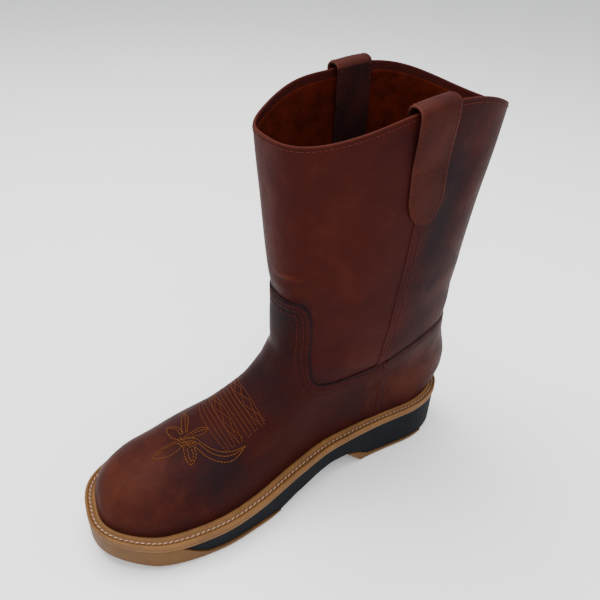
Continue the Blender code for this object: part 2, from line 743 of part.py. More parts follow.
def sole_stations(offset, back, front, count):
    """Stations of a plate from its front to its back: close at a rounded end, and at each bend."""
    heel, tip = reach_of(side_lines(offset))
    high = min(front * LENGTH, tip)
    low = max(back * LENGTH, heel)
    part = np.linspace(0, 1, count)[1:-1]
    if high == tip and low == heel:
        part = 0.5 - 0.5 * np.cos(np.pi * part)
    elif high == tip:
        part = 1 - np.cos(np.pi * part / 2)
    elif low == heel:
        part = np.sin(np.pi * part / 2)
    at = high + (low - high) * part
    tables = (WELT_LINE, WAIST_LINE, TREAD_LINE, HEEL_FLOOR, HEEL_TOP, HEEL_BEVEL)
    bends = LENGTH * np.unique(np.concatenate([column(table, "along") for table in tables]))
    apart = np.abs(at[:, None] - bends[None, :]).min(axis=1)
    inside = (bends > low + SOLE_STEP) & (bends < high - SOLE_STEP)
    at = np.concatenate([at[apart > SOLE_STEP], bends[inside]])
    return np.concatenate([[high], np.sort(at)[::-1], [low]])


def rails(offset, at):
    """Two side lines of an outline at the stations, which close up to the outline's own ends."""
    lines = side_lines(offset)
    heel, tip = reach_of(lines)
    high = tip if at[0] > tip - END_ZONE else at[0]
    low = heel if at[-1] < heel + END_ZONE else at[-1]
    own = np.interp(at, [at[-1], at[-1] + END_ZONE, at[0] - END_ZONE, at[0]],
                    [low, at[-1] + END_ZONE, at[0] - END_ZONE, high])
    found = []
    for line, mark in lines:
        points = [np.interp(own, mark[::-1], line[::-1, axis]) for axis in (0, 1)]
        found.append(np.stack(points, axis=1))
    return found, own


def make_plate(name, layers, back, front, stations, finish, parts):
    """A solid of the sole between two shares of LENGTH: layers of outline and height, top first."""
    at = sole_stations(layers[0][0], back, front, stations)
    count = len(at)
    vertices = []
    for offset, height in layers:
        sides, own = rails(offset, at)
        vertices += [np.column_stack([line, height(own)]) for line in sides]
    vertices = np.concatenate(vertices)
    faces = []
    for layer in range(len(layers) - 1):
        for side in (0, 1):
            start = (2 * layer + side) * count
            under = start + 2 * count
            for step in range(count - 1):
                face = (start + step, start + step + 1, under + step + 1, under + step)
                faces.append(face if side == 0 else face[::-1])
        for step in (0, count - 1):
            left = 2 * layer * count + step
            right = left + count
            face = (left, left + 2 * count, right + 2 * count, right)
            faces.append(face if step == 0 else face[::-1])
    for layer in (0, len(layers) - 1):
        start = 2 * layer * count
        for step in range(count - 1):
            face = (start + step, start + count + step, start + count + step + 1, start + step + 1)
            faces.append(face if layer == 0 else face[::-1])
    return new_object(name, vertices, faces, finish, parts)


def edge_layers(top, bottom, trim):
    """Layers of a tread: a straight side and a rounded lower edge."""
    def inset(amount):
        return lambda x: reach(x) - amount

    def above(share):
        return lambda x: bottom(x) + np.minimum(SOLE_ROUNDING, 0.6 * (top(x) - bottom(x))) * share

    return [
        (inset(trim), top),
        (inset(trim), above(1.0)),
        (inset(trim + SOLE_ROUNDING * 0.3), above(0.35)),
        (inset(trim + SOLE_ROUNDING), bottom),
    ]


def groove_cutter(name, places, cutters):
    """Boxes across the tread, one at each place, that stop short of the edges."""
    vertices = []
    faces = []
    for x in places:
        inner = half_plan(x, 1) + reach(x) - LUG_MARGIN
        outer = half_plan(x, -1) + reach(x) - LUG_MARGIN
        base = float(tread_bottom(x)) if x > HEEL_BREAST * LENGTH else 0.0
        low = base - LUG_DEPTH
        high = base + LUG_DEPTH
        first = len(vertices)
        for z in (low, high):
            for shift in (-LUG_GROOVE / 2, LUG_GROOVE / 2):
                vertices.append((x + shift - HEEL_CENTRE, -outer, z))
                vertices.append((x + shift - HEEL_CENTRE, inner, z))
        for face in ((0, 1, 3, 2), (4, 6, 7, 5), (0, 4, 5, 1), (2, 3, 7, 6), (0, 2, 6, 4), (1, 5, 7, 3)):
            faces.append(tuple(first + corner for corner in face))
    cutter = new_object(name, vertices, faces, "gum_rubber", cutters)
    cutter.hide_render = True
    cutter.display_type = "WIRE"
    return cutter


def make_sole(parts, cutters):
    """Midsole strip, black wedge, forefoot tread and heel tread, from the top down."""
    full = [
        (lambda x: reach(x), midsole_top),
        (lambda x: reach(x) - 0.3 * WEDGE_RECESS, midsole_bottom),
    ]
    make_plate("midsole", full, 0.0, 1.0, 34, "welt_tan", parts)
    wedge = [
        (lambda x: reach(x) - WEDGE_RECESS, lambda x: midsole_bottom(x) - GAP),
        (lambda x: reach(x) - 2 * WEDGE_RECESS, wedge_bottom),
    ]
    make_plate("wedge", wedge, 0.0, WEDGE_TIP, 34, "black_foam", parts)
    tread = make_plate(
        "outsole", edge_layers(tread_top, tread_bottom, 0.3 * WEDGE_RECESS), TREAD_BACK, 1.0, 24,
        "gum_rubber", parts,
    )
    middle = 0.69 * LENGTH
    places = [middle + (step - 0.5) * LUG_PITCH for step in range(-1, 5)]
    cut(tread, groove_cutter("tread_grooves", places, cutters), "DIFFERENCE")
    heel = make_plate(
        "heel_tread", edge_layers(heel_top, heel_bottom, WEDGE_RECESS), HEEL_BACK, HEEL_BREAST, 12,
        "gum_rubber", parts,
    )
    places = [HEEL_CENTRE + (step - 0.5) * LUG_PITCH for step in (0, 1, 2, 3)]
    cut(heel, groove_cutter("heel_grooves", places, cutters), "DIFFERENCE")


def make_insole(parts):
    """Insole inside the upper, on the midsole."""
    inset = WALL + INSOLE_CLEARANCE
    layers = [
        (lambda x: 0 * x - inset, lambda x: midsole_top(x) + GAP + INSOLE_THICKNESS),
        (lambda x: 0 * x - inset, lambda x: midsole_top(x) + GAP),
    ]
    make_plate("insole", layers, 0.0, 1.0, 34, "insole_board", parts)


def main():
    clear_scene()
    parts = collection("western_work_boot")
    cutters = collection("cutters")
    grid = upper_grid()
    make_upper(grid, parts)
    make_overlay("vamp", grid, VAMP_TOP, VAMP_EDGE, parts, cutters)
    make_overlay("heel_counter", grid, COUNTER_TOP, grow(COUNTER_EDGE, -GAP), parts, cutters)
    for name, side in (("inner", 1), ("outer", -1)):
        make_strap("pull_strap_" + name, side, parts)
        make_seam("side_seam_" + name, side, parts)
    make_welt(parts)
    make_sole(parts, cutters)
    make_insole(parts)


main()
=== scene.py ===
from collections import namedtuple

import bpy
import numpy as np
from mathutils import Matrix, Vector


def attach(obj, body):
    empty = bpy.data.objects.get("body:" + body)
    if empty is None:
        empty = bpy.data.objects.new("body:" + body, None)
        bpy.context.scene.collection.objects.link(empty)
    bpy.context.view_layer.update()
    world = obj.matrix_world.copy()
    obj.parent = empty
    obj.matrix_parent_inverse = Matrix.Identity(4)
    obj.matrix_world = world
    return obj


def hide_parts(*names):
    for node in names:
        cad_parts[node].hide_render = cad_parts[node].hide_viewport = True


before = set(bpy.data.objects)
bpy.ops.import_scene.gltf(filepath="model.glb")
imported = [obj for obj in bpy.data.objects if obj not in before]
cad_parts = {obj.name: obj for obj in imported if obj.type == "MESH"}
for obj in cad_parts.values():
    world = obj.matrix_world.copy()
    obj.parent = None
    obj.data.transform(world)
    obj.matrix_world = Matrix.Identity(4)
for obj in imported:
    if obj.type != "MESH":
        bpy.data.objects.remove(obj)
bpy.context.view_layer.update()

# Pull-on western work boot, right foot, in oily reddish brown leather on a tan and black sole.
# Metres, +Z up, +X towards the toe, +Y towards the inner side. The origin is on the floor under
# the middle of the heel. A side is 1 for the inner one and -1 for the outer one.

MM = 0.001

# Foot and shaft: outsole from back to tip, widths, height of the collar's ends over the welt,
# how much higher its sides are, and more of that at the front of the outer side
LENGTH = 0.302
BALL_WIDTH = 0.0866
COLLAR_WIDTH = 0.097
UPPER_HEIGHT = 0.245
COLLAR_RISE = 0.0194
OUTER_FULLNESS = 0.0045
HEEL_CENTRE = 0.0450
# Leather: the shaft's wall, the panels on it, and the air between two pieces
WALL = 0.0022
OVERLAY = 0.0014
GAP = 0.0003
# Rounds of toe and heel, and how square each curve is: 2 is a circle, and more is squarer
TOE_ROUND = 0.044
HEEL_ROUND = 0.040
TOE_SQUARE = 3.0
HEEL_SQUARE = 2.1
FOOT_SQUARE = 2.2
SHAFT_SQUARE = 2.3
COLLAR_SQUARE = 0.3
# Slant of the toe's front, lean of the heel's back and the shaft's place beside the foot
TOE_SLANT = 0.14
SLANT_FROM = 0.75
HEEL_SHEAR = 0.1
SHAFT_SHIFT = 0.0023
# Welt's top above the floor at heel and ball, and how far the sole rises at toe and waist
HEEL_HEIGHT = 0.0409
FOREFOOT_HEIGHT = 0.0228
TOE_SPRING = 0.011
ARCH_RISE = 0.0155
# How far the sole stands past the foot
WELT_REACH = 0.0107
HEEL_REACH = 0.0077
TOE_TUCK = 0.0018
WEDGE_RECESS = 0.0008
SOLE_ROUNDING = 0.0026
# Layers of the sole, and the grooves under its treads
WELT_THICKNESS = 0.003
WELT_LIP = 0.0005
MIDSOLE_THICKNESS = 0.0025
TREAD_THICKNESS = 0.0045
LUG_DEPTH = 0.002
LUG_GROOVE = 0.0035
LUG_PITCH = 0.0125
LUG_MARGIN = 0.011
# Pull straps: section, place of their middles at the collar and how far they lean back, how far
# they reach down outside and inside, where they are sewn on, how far they stand off and above
# the collar, and how long their lower end's round is in half widths
STRAP_WIDTH = 0.0270
STRAP_THICKNESS = 0.0022
STRAP_PLACE = {1: 0.0400, -1: 0.0325}
STRAP_LEAN = {1: 0.0065, -1: 0.0}
STRAP_OUTSIDE = 0.073
STRAP_INSIDE = 0.066
STRAP_SEWN = 0.036
STRAP_SPREAD = 0.0038
STRAP_CROWN = 0.0036
STRAP_TAPER = 1.6
# Side strips: width, and the x and z of their middles at the foot and at the top
SEAM_WIDTH = 0.0085
SEAM_ENDS = ((0.0400, 0.0935), (0.0360, 0.228))

# Fine grid of the boot's skin: rows, points of a side and of a ring, points before they are
# spaced evenly, a short way over it for slopes, and how many points are looked up at a time
SKIN_ROWS = 420
SIDE_POINTS = 300
RING_POINTS = 2 * SIDE_POINTS - 2
DENSE = 600
PROBE = 0.5 / SIDE_POINTS
BATCH = 200

# A line that is looked for on the skin counts as found within this, and the shares of a side
# that are too near the front or the back to be told apart in side view
NEAR_MISS = 0.5 * MM
FRONT_SHARE = 0.07
BACK_SHARE = 0.985

# Panels: how far their edges are sunk into the skin, how wide the skived part is, the share of
# their height that is left at the edge, how wide an edge's round and its line of painted shade
# are, and the distance past which an edge no longer counts
EDGE_SUNK = 0.25 * MM
SKIVE_WIDTH = 9 * MM
VAMP_SKIVE = 0.72
COUNTER_SKIVE = 0.45
EDGE_ROUND = 1.1 * MM
EDGE_SHADE = 0.8 * MM
FAR = 50 * MM
# Back seam of the vamp, and how much higher the vamp lies there over the counter
LAP_SEAM = 0.2405 * LENGTH - HEEL_CENTRE
LAP_HEIGHT = 0.8 * MM
# Height of a stitch's foot on a panel, just under its top, and the level of the collar's row
ON_PANEL = GAP + OVERLAY - 0.05 * MM
COLLAR_ROW = 0.9968

Plan = namedtuple("Plan", "along inner outer")
Level = namedtuple("Level", "front_along front_height back_along back_height half_width")
Line = namedtuple("Line", "along rise lift")
Mark = namedtuple("Mark", "along height")
Fold = namedtuple("Fold", "x y z along across length width depth")
Patch = namedtuple("Patch", "x y z wide deep high dark light red")

# Half widths of the foot at the welt, as shares of the ball's width, at shares of the length
PLAN = [Plan(*row) for row in (
    (0.050, 0.275, 0.298), (0.150, 0.286, 0.321), (0.270, 0.275, 0.315),
    (0.390, 0.281, 0.327), (0.515, 0.350, 0.385), (0.635, 0.448, 0.465),
    (0.735, 0.494, 0.508), (0.840, 0.462, 0.477), (0.930, 0.356, 0.396),
    (1.000, 0.269, 0.350),
)]
# Front and back of the upper in side view, at even levels up to the collar: shares of the length
# and of the upper's height, and half widths as shares of the collar's width
PROFILE = [Level(*row) for row in (
    (0.9632, 0.0245, 0.0119, 0.0245, 0.343),
    (0.9570, 0.0500, -0.0013, 0.0530, 0.343),
    (0.9338, 0.0870, -0.0093, 0.0820, 0.343),
    (0.8841, 0.1200, -0.0086, 0.1140, 0.343),
    (0.7831, 0.1560, -0.0003, 0.1510, 0.343),
    (0.6821, 0.2010, 0.0142, 0.2000, 0.343),
    (0.5954, 0.2490, 0.0265, 0.2490, 0.343),
    (0.5360, 0.3110, 0.0325, 0.3100, 0.356),
    (0.5110, 0.4080, 0.0298, 0.3960, 0.371),
    (0.5150, 0.5350, 0.0272, 0.5060, 0.407),
    (0.5295, 0.6900, 0.0190, 0.6490, 0.443),
    (0.5390, 0.8450, 0.0080, 0.8040, 0.474),
    (0.5475, 0.9960, -0.0050, 0.9640, 0.500),
)]
# Ends of the foot. Levels between which its plan turns into the shaft's oval, the shaft moves
# over and the lines stop following the welt. Where the collar's curve starts and how far back
# it leans, where the foot's top turns up into the shaft, and how sharply
FOOT_ALONG = (0.0255, 0.9646)
SHAFT_FROM = 0.443
SHAFT_AT = 0.714
SHIFT_LEVELS = (0.30, 0.65)
FOLLOW_LEVELS = (0.10, 0.46)
SCALLOP_FROM = 0.64
SCALLOP_LEAN = 1.36
THROAT = 0.560
THROAT_BEND = 80.0
WELT_LEVEL = 1.0 / (len(PROFILE) + 1)

# Height lines of the sole at shares of the length: shares of two sizes, such as waist and toe
WELT_LINE = [Line(*row) for row in (
    (0.00, 1.00, 0.00), (0.15, 0.92, 0.00), (0.30, 0.86, 0.00), (0.42, 0.72, 0.00),
    (0.55, 0.36, 0.00), (0.68, 0.05, 0.00), (0.80, 0.00, 0.00), (0.90, 0.00, 0.25),
    (1.00, 0.00, 0.75),
)]
WAIST_LINE = [Line(*row) for row in (
    (0.345, 1.00, 0.00), (0.390, 1.00, 0.00), (0.430, 0.88, 0.00),
    (0.500, 0.52, 0.00), (0.570, 0.12, 0.00), (0.610, 0.01, 0.00),
    (0.640, 0.00, 0.00), (0.740, 0.00, 0.00), (0.860, 0.00, 0.18),
    (1.000, 0.00, 1.00),
)]
TREAD_LINE = [Line(*row) for row in (
    (0.570, 0.30, 0.00), (0.620, 0.90, 0.00), (0.700, 1.00, 0.00),
    (0.765, 1.00, 0.05), (0.790, 1.00, 0.34), (0.810, 1.00, 0.74),
    (0.820, 1.00, 0.93), (0.823, 1.00, 1.00), (1.000, 1.00, 1.00),
)]
TREAD_BACK = 0.570
WEDGE_TIP = 0.820
HEEL_FLOOR = [Line(0.085, 0.0, 0.0), Line(0.300, 0.0, 0.0), Line(0.345, 0.9, 0.0)]
HEEL_TOP = [Line(*row) for row in (
    (0.085, 0.0, 0.55), (0.120, 0.0, 0.90), (0.240, 0.0, 1.00),
    (0.280, 0.1, 1.00), (0.305, 0.4, 1.00), (0.345, 1.0, 0.00),
)]
HEEL_BACK = 0.085
HEEL_BREAST = 0.345
HEEL_BEVEL = [Line(0.000, 0.60, 0.0), Line(0.030, 0.27, 0.0), Line(0.085, 0.0, 0.55)]

# Edge of the vamp from the foot of its back seam up, forward, up its tongue and to the front
VAMP_EDGE = [Mark(*row) for row in (
    (0.237, -0.05), (0.238, 0.060), (0.240, 0.140), (0.242, 0.225), (0.246, 0.260),
    (0.258, 0.254), (0.280, 0.246), (0.328, 0.2405), (0.388, 0.249), (0.433, 0.257),
    (0.458, 0.271), (0.467, 0.300), (0.469, 0.340), (0.468, 0.410), (0.470, 0.490),
    (0.478, 0.530), (0.489, 0.549), (0.502, 0.553), (0.516, 0.548), (0.530, 0.540),
)]
# Top edge of the counter from the side seam to the back
COUNTER_TOP = [Mark(*row) for row in (
    (0.272, 0.247), (0.252, 0.261), (0.215, 0.285), (0.180, 0.301),
    (0.130, 0.314), (0.070, 0.318), (-0.060, 0.314),
)]
# Front of the counter, under the vamp's back seam
COUNTER_SEAM = [Mark(*row) for row in (
    (0.237, -0.05), (0.238, 0.060), (0.240, 0.140), (0.245, 0.225), (0.252, 0.261),
)]
SIDE_NAMES = {1: "inner", -1: "outer"}


def smoothstep(value):
    """0 to 1 with level ends: three squares less two cubes."""
    value = np.clip(value, 0.0, 1.0)
    return value * value * (3.0 - 2.0 * value)


def ramp(value, low, high):
    """0 below low, 1 above high, with level ends."""
    return smoothstep((value - low) / (high - low))


def bell(value, width):
    """1 at nothing, falling away to either side like a bell curve of that width."""
    return np.exp(-(value / width) ** 2)


def smooth_curve(knots, heights, at):
    """Cubic through the knots whose slopes are held so that it never swings past them."""
    knots = np.asarray(knots, float)
    heights = np.asarray(heights, float)
    steps = np.diff(knots)
    slopes = np.diff(heights) / steps
    tangents = np.zeros(len(knots))
    before = slopes[:-1]
    after = slopes[1:]
    same = before * after > 0
    weight_a = 2 * steps[1:] + steps[:-1]
    weight_b = steps[1:] + 2 * steps[:-1]
    safe_before = np.where(same, before, 1.0)
    safe_after = np.where(same, after, 1.0)
    mean = (weight_a + weight_b) / (weight_a / safe_before + weight_b / safe_after)
    tangents[1:-1] = np.where(same, mean, 0.0)
    tangents[0] = slopes[0]
    tangents[-1] = slopes[-1]
    at = np.clip(at, knots[0], knots[-1])
    cell = np.clip(np.searchsorted(knots, at, side="right") - 1, 0, len(steps) - 1)
    size = steps[cell]
    part = (at - knots[cell]) / size
    square = part * part
    cube = square * part
    return (
        heights[cell] * (2 * cube - 3 * square + 1)
        + size * tangents[cell] * (cube - 2 * square + part)
        + heights[cell + 1] * (3 * square - 2 * cube)
        + size * tangents[cell + 1] * (cube - square)
    )


def column(table, name):
    """One named column of a table."""
    return [getattr(row, name) for row in table]


def line_height(table, x, rise, lift):
    """Height of a line of the sole at x from the back: a share of each of two sizes."""
    along = column(table, "along")
    share = x / LENGTH
    return rise * smooth_curve(along, column(table, "rise"), share) + lift * smooth_curve(
        along, column(table, "lift"), share
    )


def share_line(table, name, x):
    """A column of a table of straight pieces at x from the back."""
    return np.interp(x / LENGTH, column(table, "along"), column(table, name))


def welt_top(x):
    """Level over the ball, up to the heel and, by a share of the spring, up to the toe."""
    return FOREFOOT_HEIGHT + line_height(WELT_LINE, x, HEEL_HEIGHT - FOREFOOT_HEIGHT, TOE_SPRING)


def midsole_top(x):
    """A welt's thickness under the welt's top."""
    return welt_top(x) - WELT_THICKNESS


def midsole_bottom(x):
    """A midsole's thickness under its top."""
    return midsole_top(x) - MIDSOLE_THICKNESS


def tread_bottom(x):
    """On the floor under the ball, raised at the waist and at the toe."""
    return line_height(WAIST_LINE, x, ARCH_RISE, TOE_SPRING)


def tread_top(x):
    """A thin tread's thickness above its underside, then a climb to the midsole at the toe."""
    along = column(TREAD_LINE, "along")
    share = x / LENGTH
    thin = tread_bottom(x) + TREAD_THICKNESS * smooth_curve(along, column(TREAD_LINE, "rise"), share)
    climb = smooth_curve(along, column(TREAD_LINE, "lift"), share)
    return thin + climb * (midsole_bottom(x) - GAP - thin)


def heel_bottom(x):
    """On the floor, raised at the breast of the heel."""
    return ARCH_RISE * share_line(HEEL_FLOOR, "rise", x)


def heel_top(x):
    """A tread's thickness above the floor, tapered at the back and at the breast."""
    raised = ARCH_RISE * share_line(HEEL_TOP, "rise", x)
    return raised + TREAD_THICKNESS * share_line(HEEL_TOP, "lift", x)


def wedge_bottom(x):
    """Bevel behind the heel, then the tops of the treads, with the waist's underside between."""
    bevel = line_height(HEEL_BEVEL, x, ARCH_RISE, TREAD_THICKNESS)
    share = x / LENGTH
    height = np.where(share < HEEL_BACK, bevel, heel_top(x))
    height = np.where(share > HEEL_BREAST, tread_bottom(x), height)
    height = np.where(share > TREAD_BACK, tread_top(x), height)
    return height + GAP


def closing(share, square):
    """Half width of a rounded end: 1 where it starts, 0 at its tip."""
    return (1 - share**square) ** (1 / square)


def half_plan(x, side):
    """Half width of the upper at the welt: the table's curve, closed by a round toe and heel."""
    name = "inner" if side > 0 else "outer"
    back = FOOT_ALONG[0] * LENGTH
    tip = FOOT_ALONG[1] * LENGTH
    width = BALL_WIDTH * smooth_curve(column(PLAN, "along"), column(PLAN, name), x / LENGTH)
    toe = np.clip((x - (tip - TOE_ROUND)) / TOE_ROUND, 0.0, 1.0)
    heel = np.clip((back + HEEL_ROUND - x) / HEEL_ROUND, 0.0, 1.0)
    return width * closing(toe, TOE_SQUARE) * closing(heel, HEEL_SQUARE)


def level_value(name, level):
    """A column of the profile at a level from 0, on the midsole, to 1, at the collar."""
    edge = {
        "front_along": (FOOT_ALONG[1], FOOT_ALONG[1]),
        "back_along": (FOOT_ALONG[0], FOOT_ALONG[0]),
        "half_width": (PROFILE[0].half_width, PROFILE[0].half_width),
    }
    low = ((GAP - WELT_THICKNESS) / UPPER_HEIGHT, (WELT_LIP + 2 * GAP) / UPPER_HEIGHT)
    values = np.array([*edge.get(name, low), *column(PROFILE, name)])
    return smooth_curve(np.linspace(0, 1, len(values)), values, level)


def foot_top(x):
    """Height of the top of the foot above the floor, steepened behind the throat by a square."""
    level = np.linspace(WELT_LEVEL, SHAFT_AT, DENSE)
    along = level_value("front_along", level) * LENGTH
    height = welt_top(along) + level_value("front_height", level) * UPPER_HEIGHT
    order = np.argsort(along)
    along = along[order]
    height = height[order]
    turn = THROAT * LENGTH
    step = 0.002
    start = np.interp(turn, along, height)
    slope = (start - np.interp(turn + step, along, height)) / step
    past = np.clip(turn - x, 0.0, None)
    return np.where(x >= turn, np.interp(x, along, height), start + slope * past + THROAT_BEND * past**2)


def skin(level, across, side):
    """Point of the upper: level 0 to 1 from midsole to collar, across 0 to 1 from front to back.

    A level's line joins its front and back points. Low down its width is the plan, rounded over
    towards the top of the foot; in the shaft it is an oval; between, their squares are blended.
    """
    level, across = np.broadcast_arrays(np.asarray(level, float), np.asarray(across, float))
    front = level_value("front_along", level) * LENGTH
    back = level_value("back_along", level) * LENGTH
    front_height = level_value("front_height", level) * UPPER_HEIGHT
    back_height = level_value("back_height", level) * UPPER_HEIGHT
    x = front + (back - front) * across
    above = front_height + (back_height - front_height) * across
    straight = (welt_top(front) + front_height) * (1 - across) + (welt_top(back) + back_height) * across
    follow = 1 - ramp(level, *FOLLOW_LEVELS)
    z = straight * (1 - follow) + (welt_top(x) + above) * follow
    scallop = np.clip((level - SCALLOP_FROM) / (1 - SCALLOP_FROM), 0.0, 1.0) ** 2
    z = z + COLLAR_RISE * scallop * np.sin(np.pi * across**SCALLOP_LEAN)
    if side < 0:
        z = z + OUTER_FULLNESS * scallop * np.sin(2 * np.pi * np.minimum(across, 0.5)) ** 2
    edge = WELT_LIP + 2 * GAP
    rounding = (z - welt_top(x) - edge) / np.maximum(foot_top(x) - welt_top(x) - edge, 1e-5)
    rounding = np.where(level <= WELT_LEVEL, 0.0, np.clip(rounding, 0.0, 1.0))
    spread = (back - FOOT_ALONG[0] * LENGTH) * np.clip(1 - (x - back) / HEEL_SHEAR, 0.0, 1.0)
    foot = half_plan(x - spread, side) * closing(rounding, FOOT_SQUARE)
    square = SHAFT_SQUARE + COLLAR_SQUARE * ramp(level, 0.85, 1.0)
    oval = closing(np.minimum(np.abs(2 * across - 1), 1.0), square)
    shaft = level_value("half_width", level) * COLLAR_WIDTH * oval
    mix = ramp(level, SHAFT_FROM, SHAFT_AT)
    y = side * np.sqrt((1 - mix) * foot**2 + mix * shaft**2)
    ahead = np.clip((x / LENGTH - SLANT_FROM) / (1 - SLANT_FROM), 0.0, 1.0)
    x = x + TOE_SLANT * ahead * y
    y = y + SHAFT_SHIFT * ramp(level, *SHIFT_LEVELS)
    return np.stack([x - HEEL_CENTRE, y, z], axis=-1)


def line_lengths(points):
    """Length passed at each point of a line."""
    steps = np.linalg.norm(np.diff(points, axis=0), axis=1)
    return np.concatenate([[0.0], np.cumsum(steps)])


def points_at(at, marks, points):
    """Points of a line at the places wanted, where each of its points has a rising mark."""
    return np.stack([np.interp(at, marks, values) for values in points.T], axis=1)


def half_rings(levels, side):
    """Points spaced evenly by length from the front to the back of one side, a row per level,
    and the length of each row."""
    even = np.linspace(0, 1, DENSE)
    across = 0.5 - 0.5 * np.cos(np.pi * (0.5 - 0.5 * np.cos(np.pi * even)))
    rows = []
    lengths = []
    for line in skin(levels[:, None], across[None, :], side):
        passed = line_lengths(line)
        rows.append(points_at(np.linspace(0, passed[-1], SIDE_POINTS), passed, line))
        lengths.append(passed[-1])
    return np.array(rows), np.array(lengths)


def unit(vectors):
    """The same directions, one long."""
    return vectors / np.maximum(np.linalg.norm(vectors, axis=-1, keepdims=True), 1e-12)


def outward(grid):
    """Outward directions of closed rings: the cross product of round and up."""
    around = np.roll(grid, -1, axis=1) - np.roll(grid, 1, axis=1)
    return unit(np.cross(around, np.gradient(grid, axis=0)))


# How far from its middle a fold still acts, so that it stays on its own side of the boot
FOLD_REACH = 26 * MM
# Creases and dents: centre in mm, the direction that each runs in, the direction across it, its
# half length, half width and depth in mm. A depth under nothing is a ridge.
FOLDS = [Fold(*row) for row in (
    (112, 15, 187, (0, 1, 0.25), (0, 0, 1), 8, 1.5, -0.55),
    (112, 14, 183, (0, 1, 0.25), (0, 0, 1), 10, 2.4, 0.6),
    (112, 0, 160, (0, 1, 0), (0, 0, 1), 30, 9, 0.9),
    (117, 6, 118, (0, 1, -0.2), (0.3, 0, 1), 30, 5, 1.0),
    (124, -4, 104, (0, 1, 0.1), (0.5, 0, 1), 34, 6, 0.35),
    (100, 40, 108, (0.8, 0, 0.5), (-0.5, 0, 0.8), 26, 5, 0.9),
    (96, -40, 112, (0.8, 0, 0.6), (-0.6, 0, 0.8), 28, 5, 1.0),
    (60, 44, 128, (1, 0, 0.3), (-0.3, 0, 1), 30, 8, 0.8),
    (40, -44, 134, (1, 0, 0.1), (-0.1, 0, 1), 34, 8, 0.9),
    (-38, 4, 150, (0, 1, 0), (0, 0, 1), 26, 10, 0.9),
    (160, 14, 74, (0.1, 1, 0), (1, 0, -0.3), 30, 8, 0.3),
    (152, -18, 76, (-0.1, 1, 0), (1, 0, -0.3), 26, 7, 0.25),
    (84, 48, 230, (0.2, 0, 1), (1, 0, -0.2), 34, 12, 0.9),
    (8, 46, 236, (-0.1, 0, 1), (1, 0, 0.1), 40, 12, 0.8),
    (84, -46, 226, (0.1, 0, 1), (1, 0, -0.1), 36, 12, 0.9),
)]


def relief(points):
    """How far the leather stands out or in: each fold is a bell across and a flat bell along,
    with a low swelling at either side; broad slow waves lie over it all."""
    total = np.zeros(points.shape[:-1])
    for fold in FOLDS:
        middle = np.array([fold.x, fold.y, fold.z]) * MM
        along = unit(np.array(fold.along, float))
        across = unit(np.array(fold.across, float))
        away = points - middle
        run = away @ along / (fold.length * MM)
        beside = away @ across / (fold.width * MM)
        deep = away @ np.cross(along, across) / FOLD_REACH
        window = np.exp(-run**4) * np.exp(-deep**4)
        shape = -bell(beside, 1.0) + 0.35 * bell(np.abs(beside) - 2.1, 1.0)
        total += fold.depth * MM * shape * window
    x, y, z = np.moveaxis(points, -1, 0) / MM
    slow = np.sin(x / 17 + 0.6 * np.sin(z / 23)) * np.sin(z / 31 + y / 19 + 1.0)
    slow += 0.6 * np.sin(x / 9.5 - z / 14 + 2.0) * np.sin(y / 11 + z / 27)
    above = ramp(points[..., 2], 0.045, 0.10)
    return total + 0.28 * MM * slow * above


LEVELS = np.linspace(0, 1, SKIN_ROWS)
inner_rings, inner_length = half_rings(LEVELS, 1)
outer_rings, outer_length = half_rings(LEVELS, -1)
BARE = np.concatenate([inner_rings, outer_rings[:, -2:0:-1]], axis=1)
BARE_OUT = outward(BARE)
FORM = BARE + BARE_OUT * relief(BARE)[..., None]
OUT = outward(FORM)


def sampled(grid, level, share):
    """A value of the fine grid between its points. Share runs from 0 at the front to 1 at the
    back by the inner side, and to -1 by the outer side; past 1 it goes on round."""
    level, share = np.broadcast_arrays(np.asarray(level, float), np.asarray(share, float))
    row = np.clip(level, 0, 1) * (SKIN_ROWS - 1)
    low = np.minimum(row.astype(int), SKIN_ROWS - 2)
    up = (row - low)[..., None]
    place = (share * (SIDE_POINTS - 1)) % RING_POINTS
    left = np.floor(place).astype(int) % RING_POINTS
    right = (left + 1) % RING_POINTS
    on = (place - np.floor(place))[..., None]
    bottom = grid[low, left] * (1 - on) + grid[low, right] * on
    top = grid[low + 1, left] * (1 - on) + grid[low + 1, right] * on
    return bottom * (1 - up) + top * up


def on_boot(level, share, lift=0.0):
    """Point on the boot's skin, lifted off it along its outward direction."""
    lift = np.asarray(lift, float)[..., None]
    return sampled(FORM, level, share) + unit(sampled(OUT, level, share)) * lift


def slopes(level, share):
    """Points of the skin, and how fast they move with level and with share."""
    here = sampled(FORM, level, share)
    by_level = (sampled(FORM, level + PROBE, share) - here) / PROBE
    by_share = (sampled(FORM, level, share + PROBE) - here) / PROBE
    return here, by_level, by_share


def cross_flat(first, second):
    """Flat cross product: the area between two directions."""
    return first[:, 0] * second[:, 1] - first[:, 1] * second[:, 0]


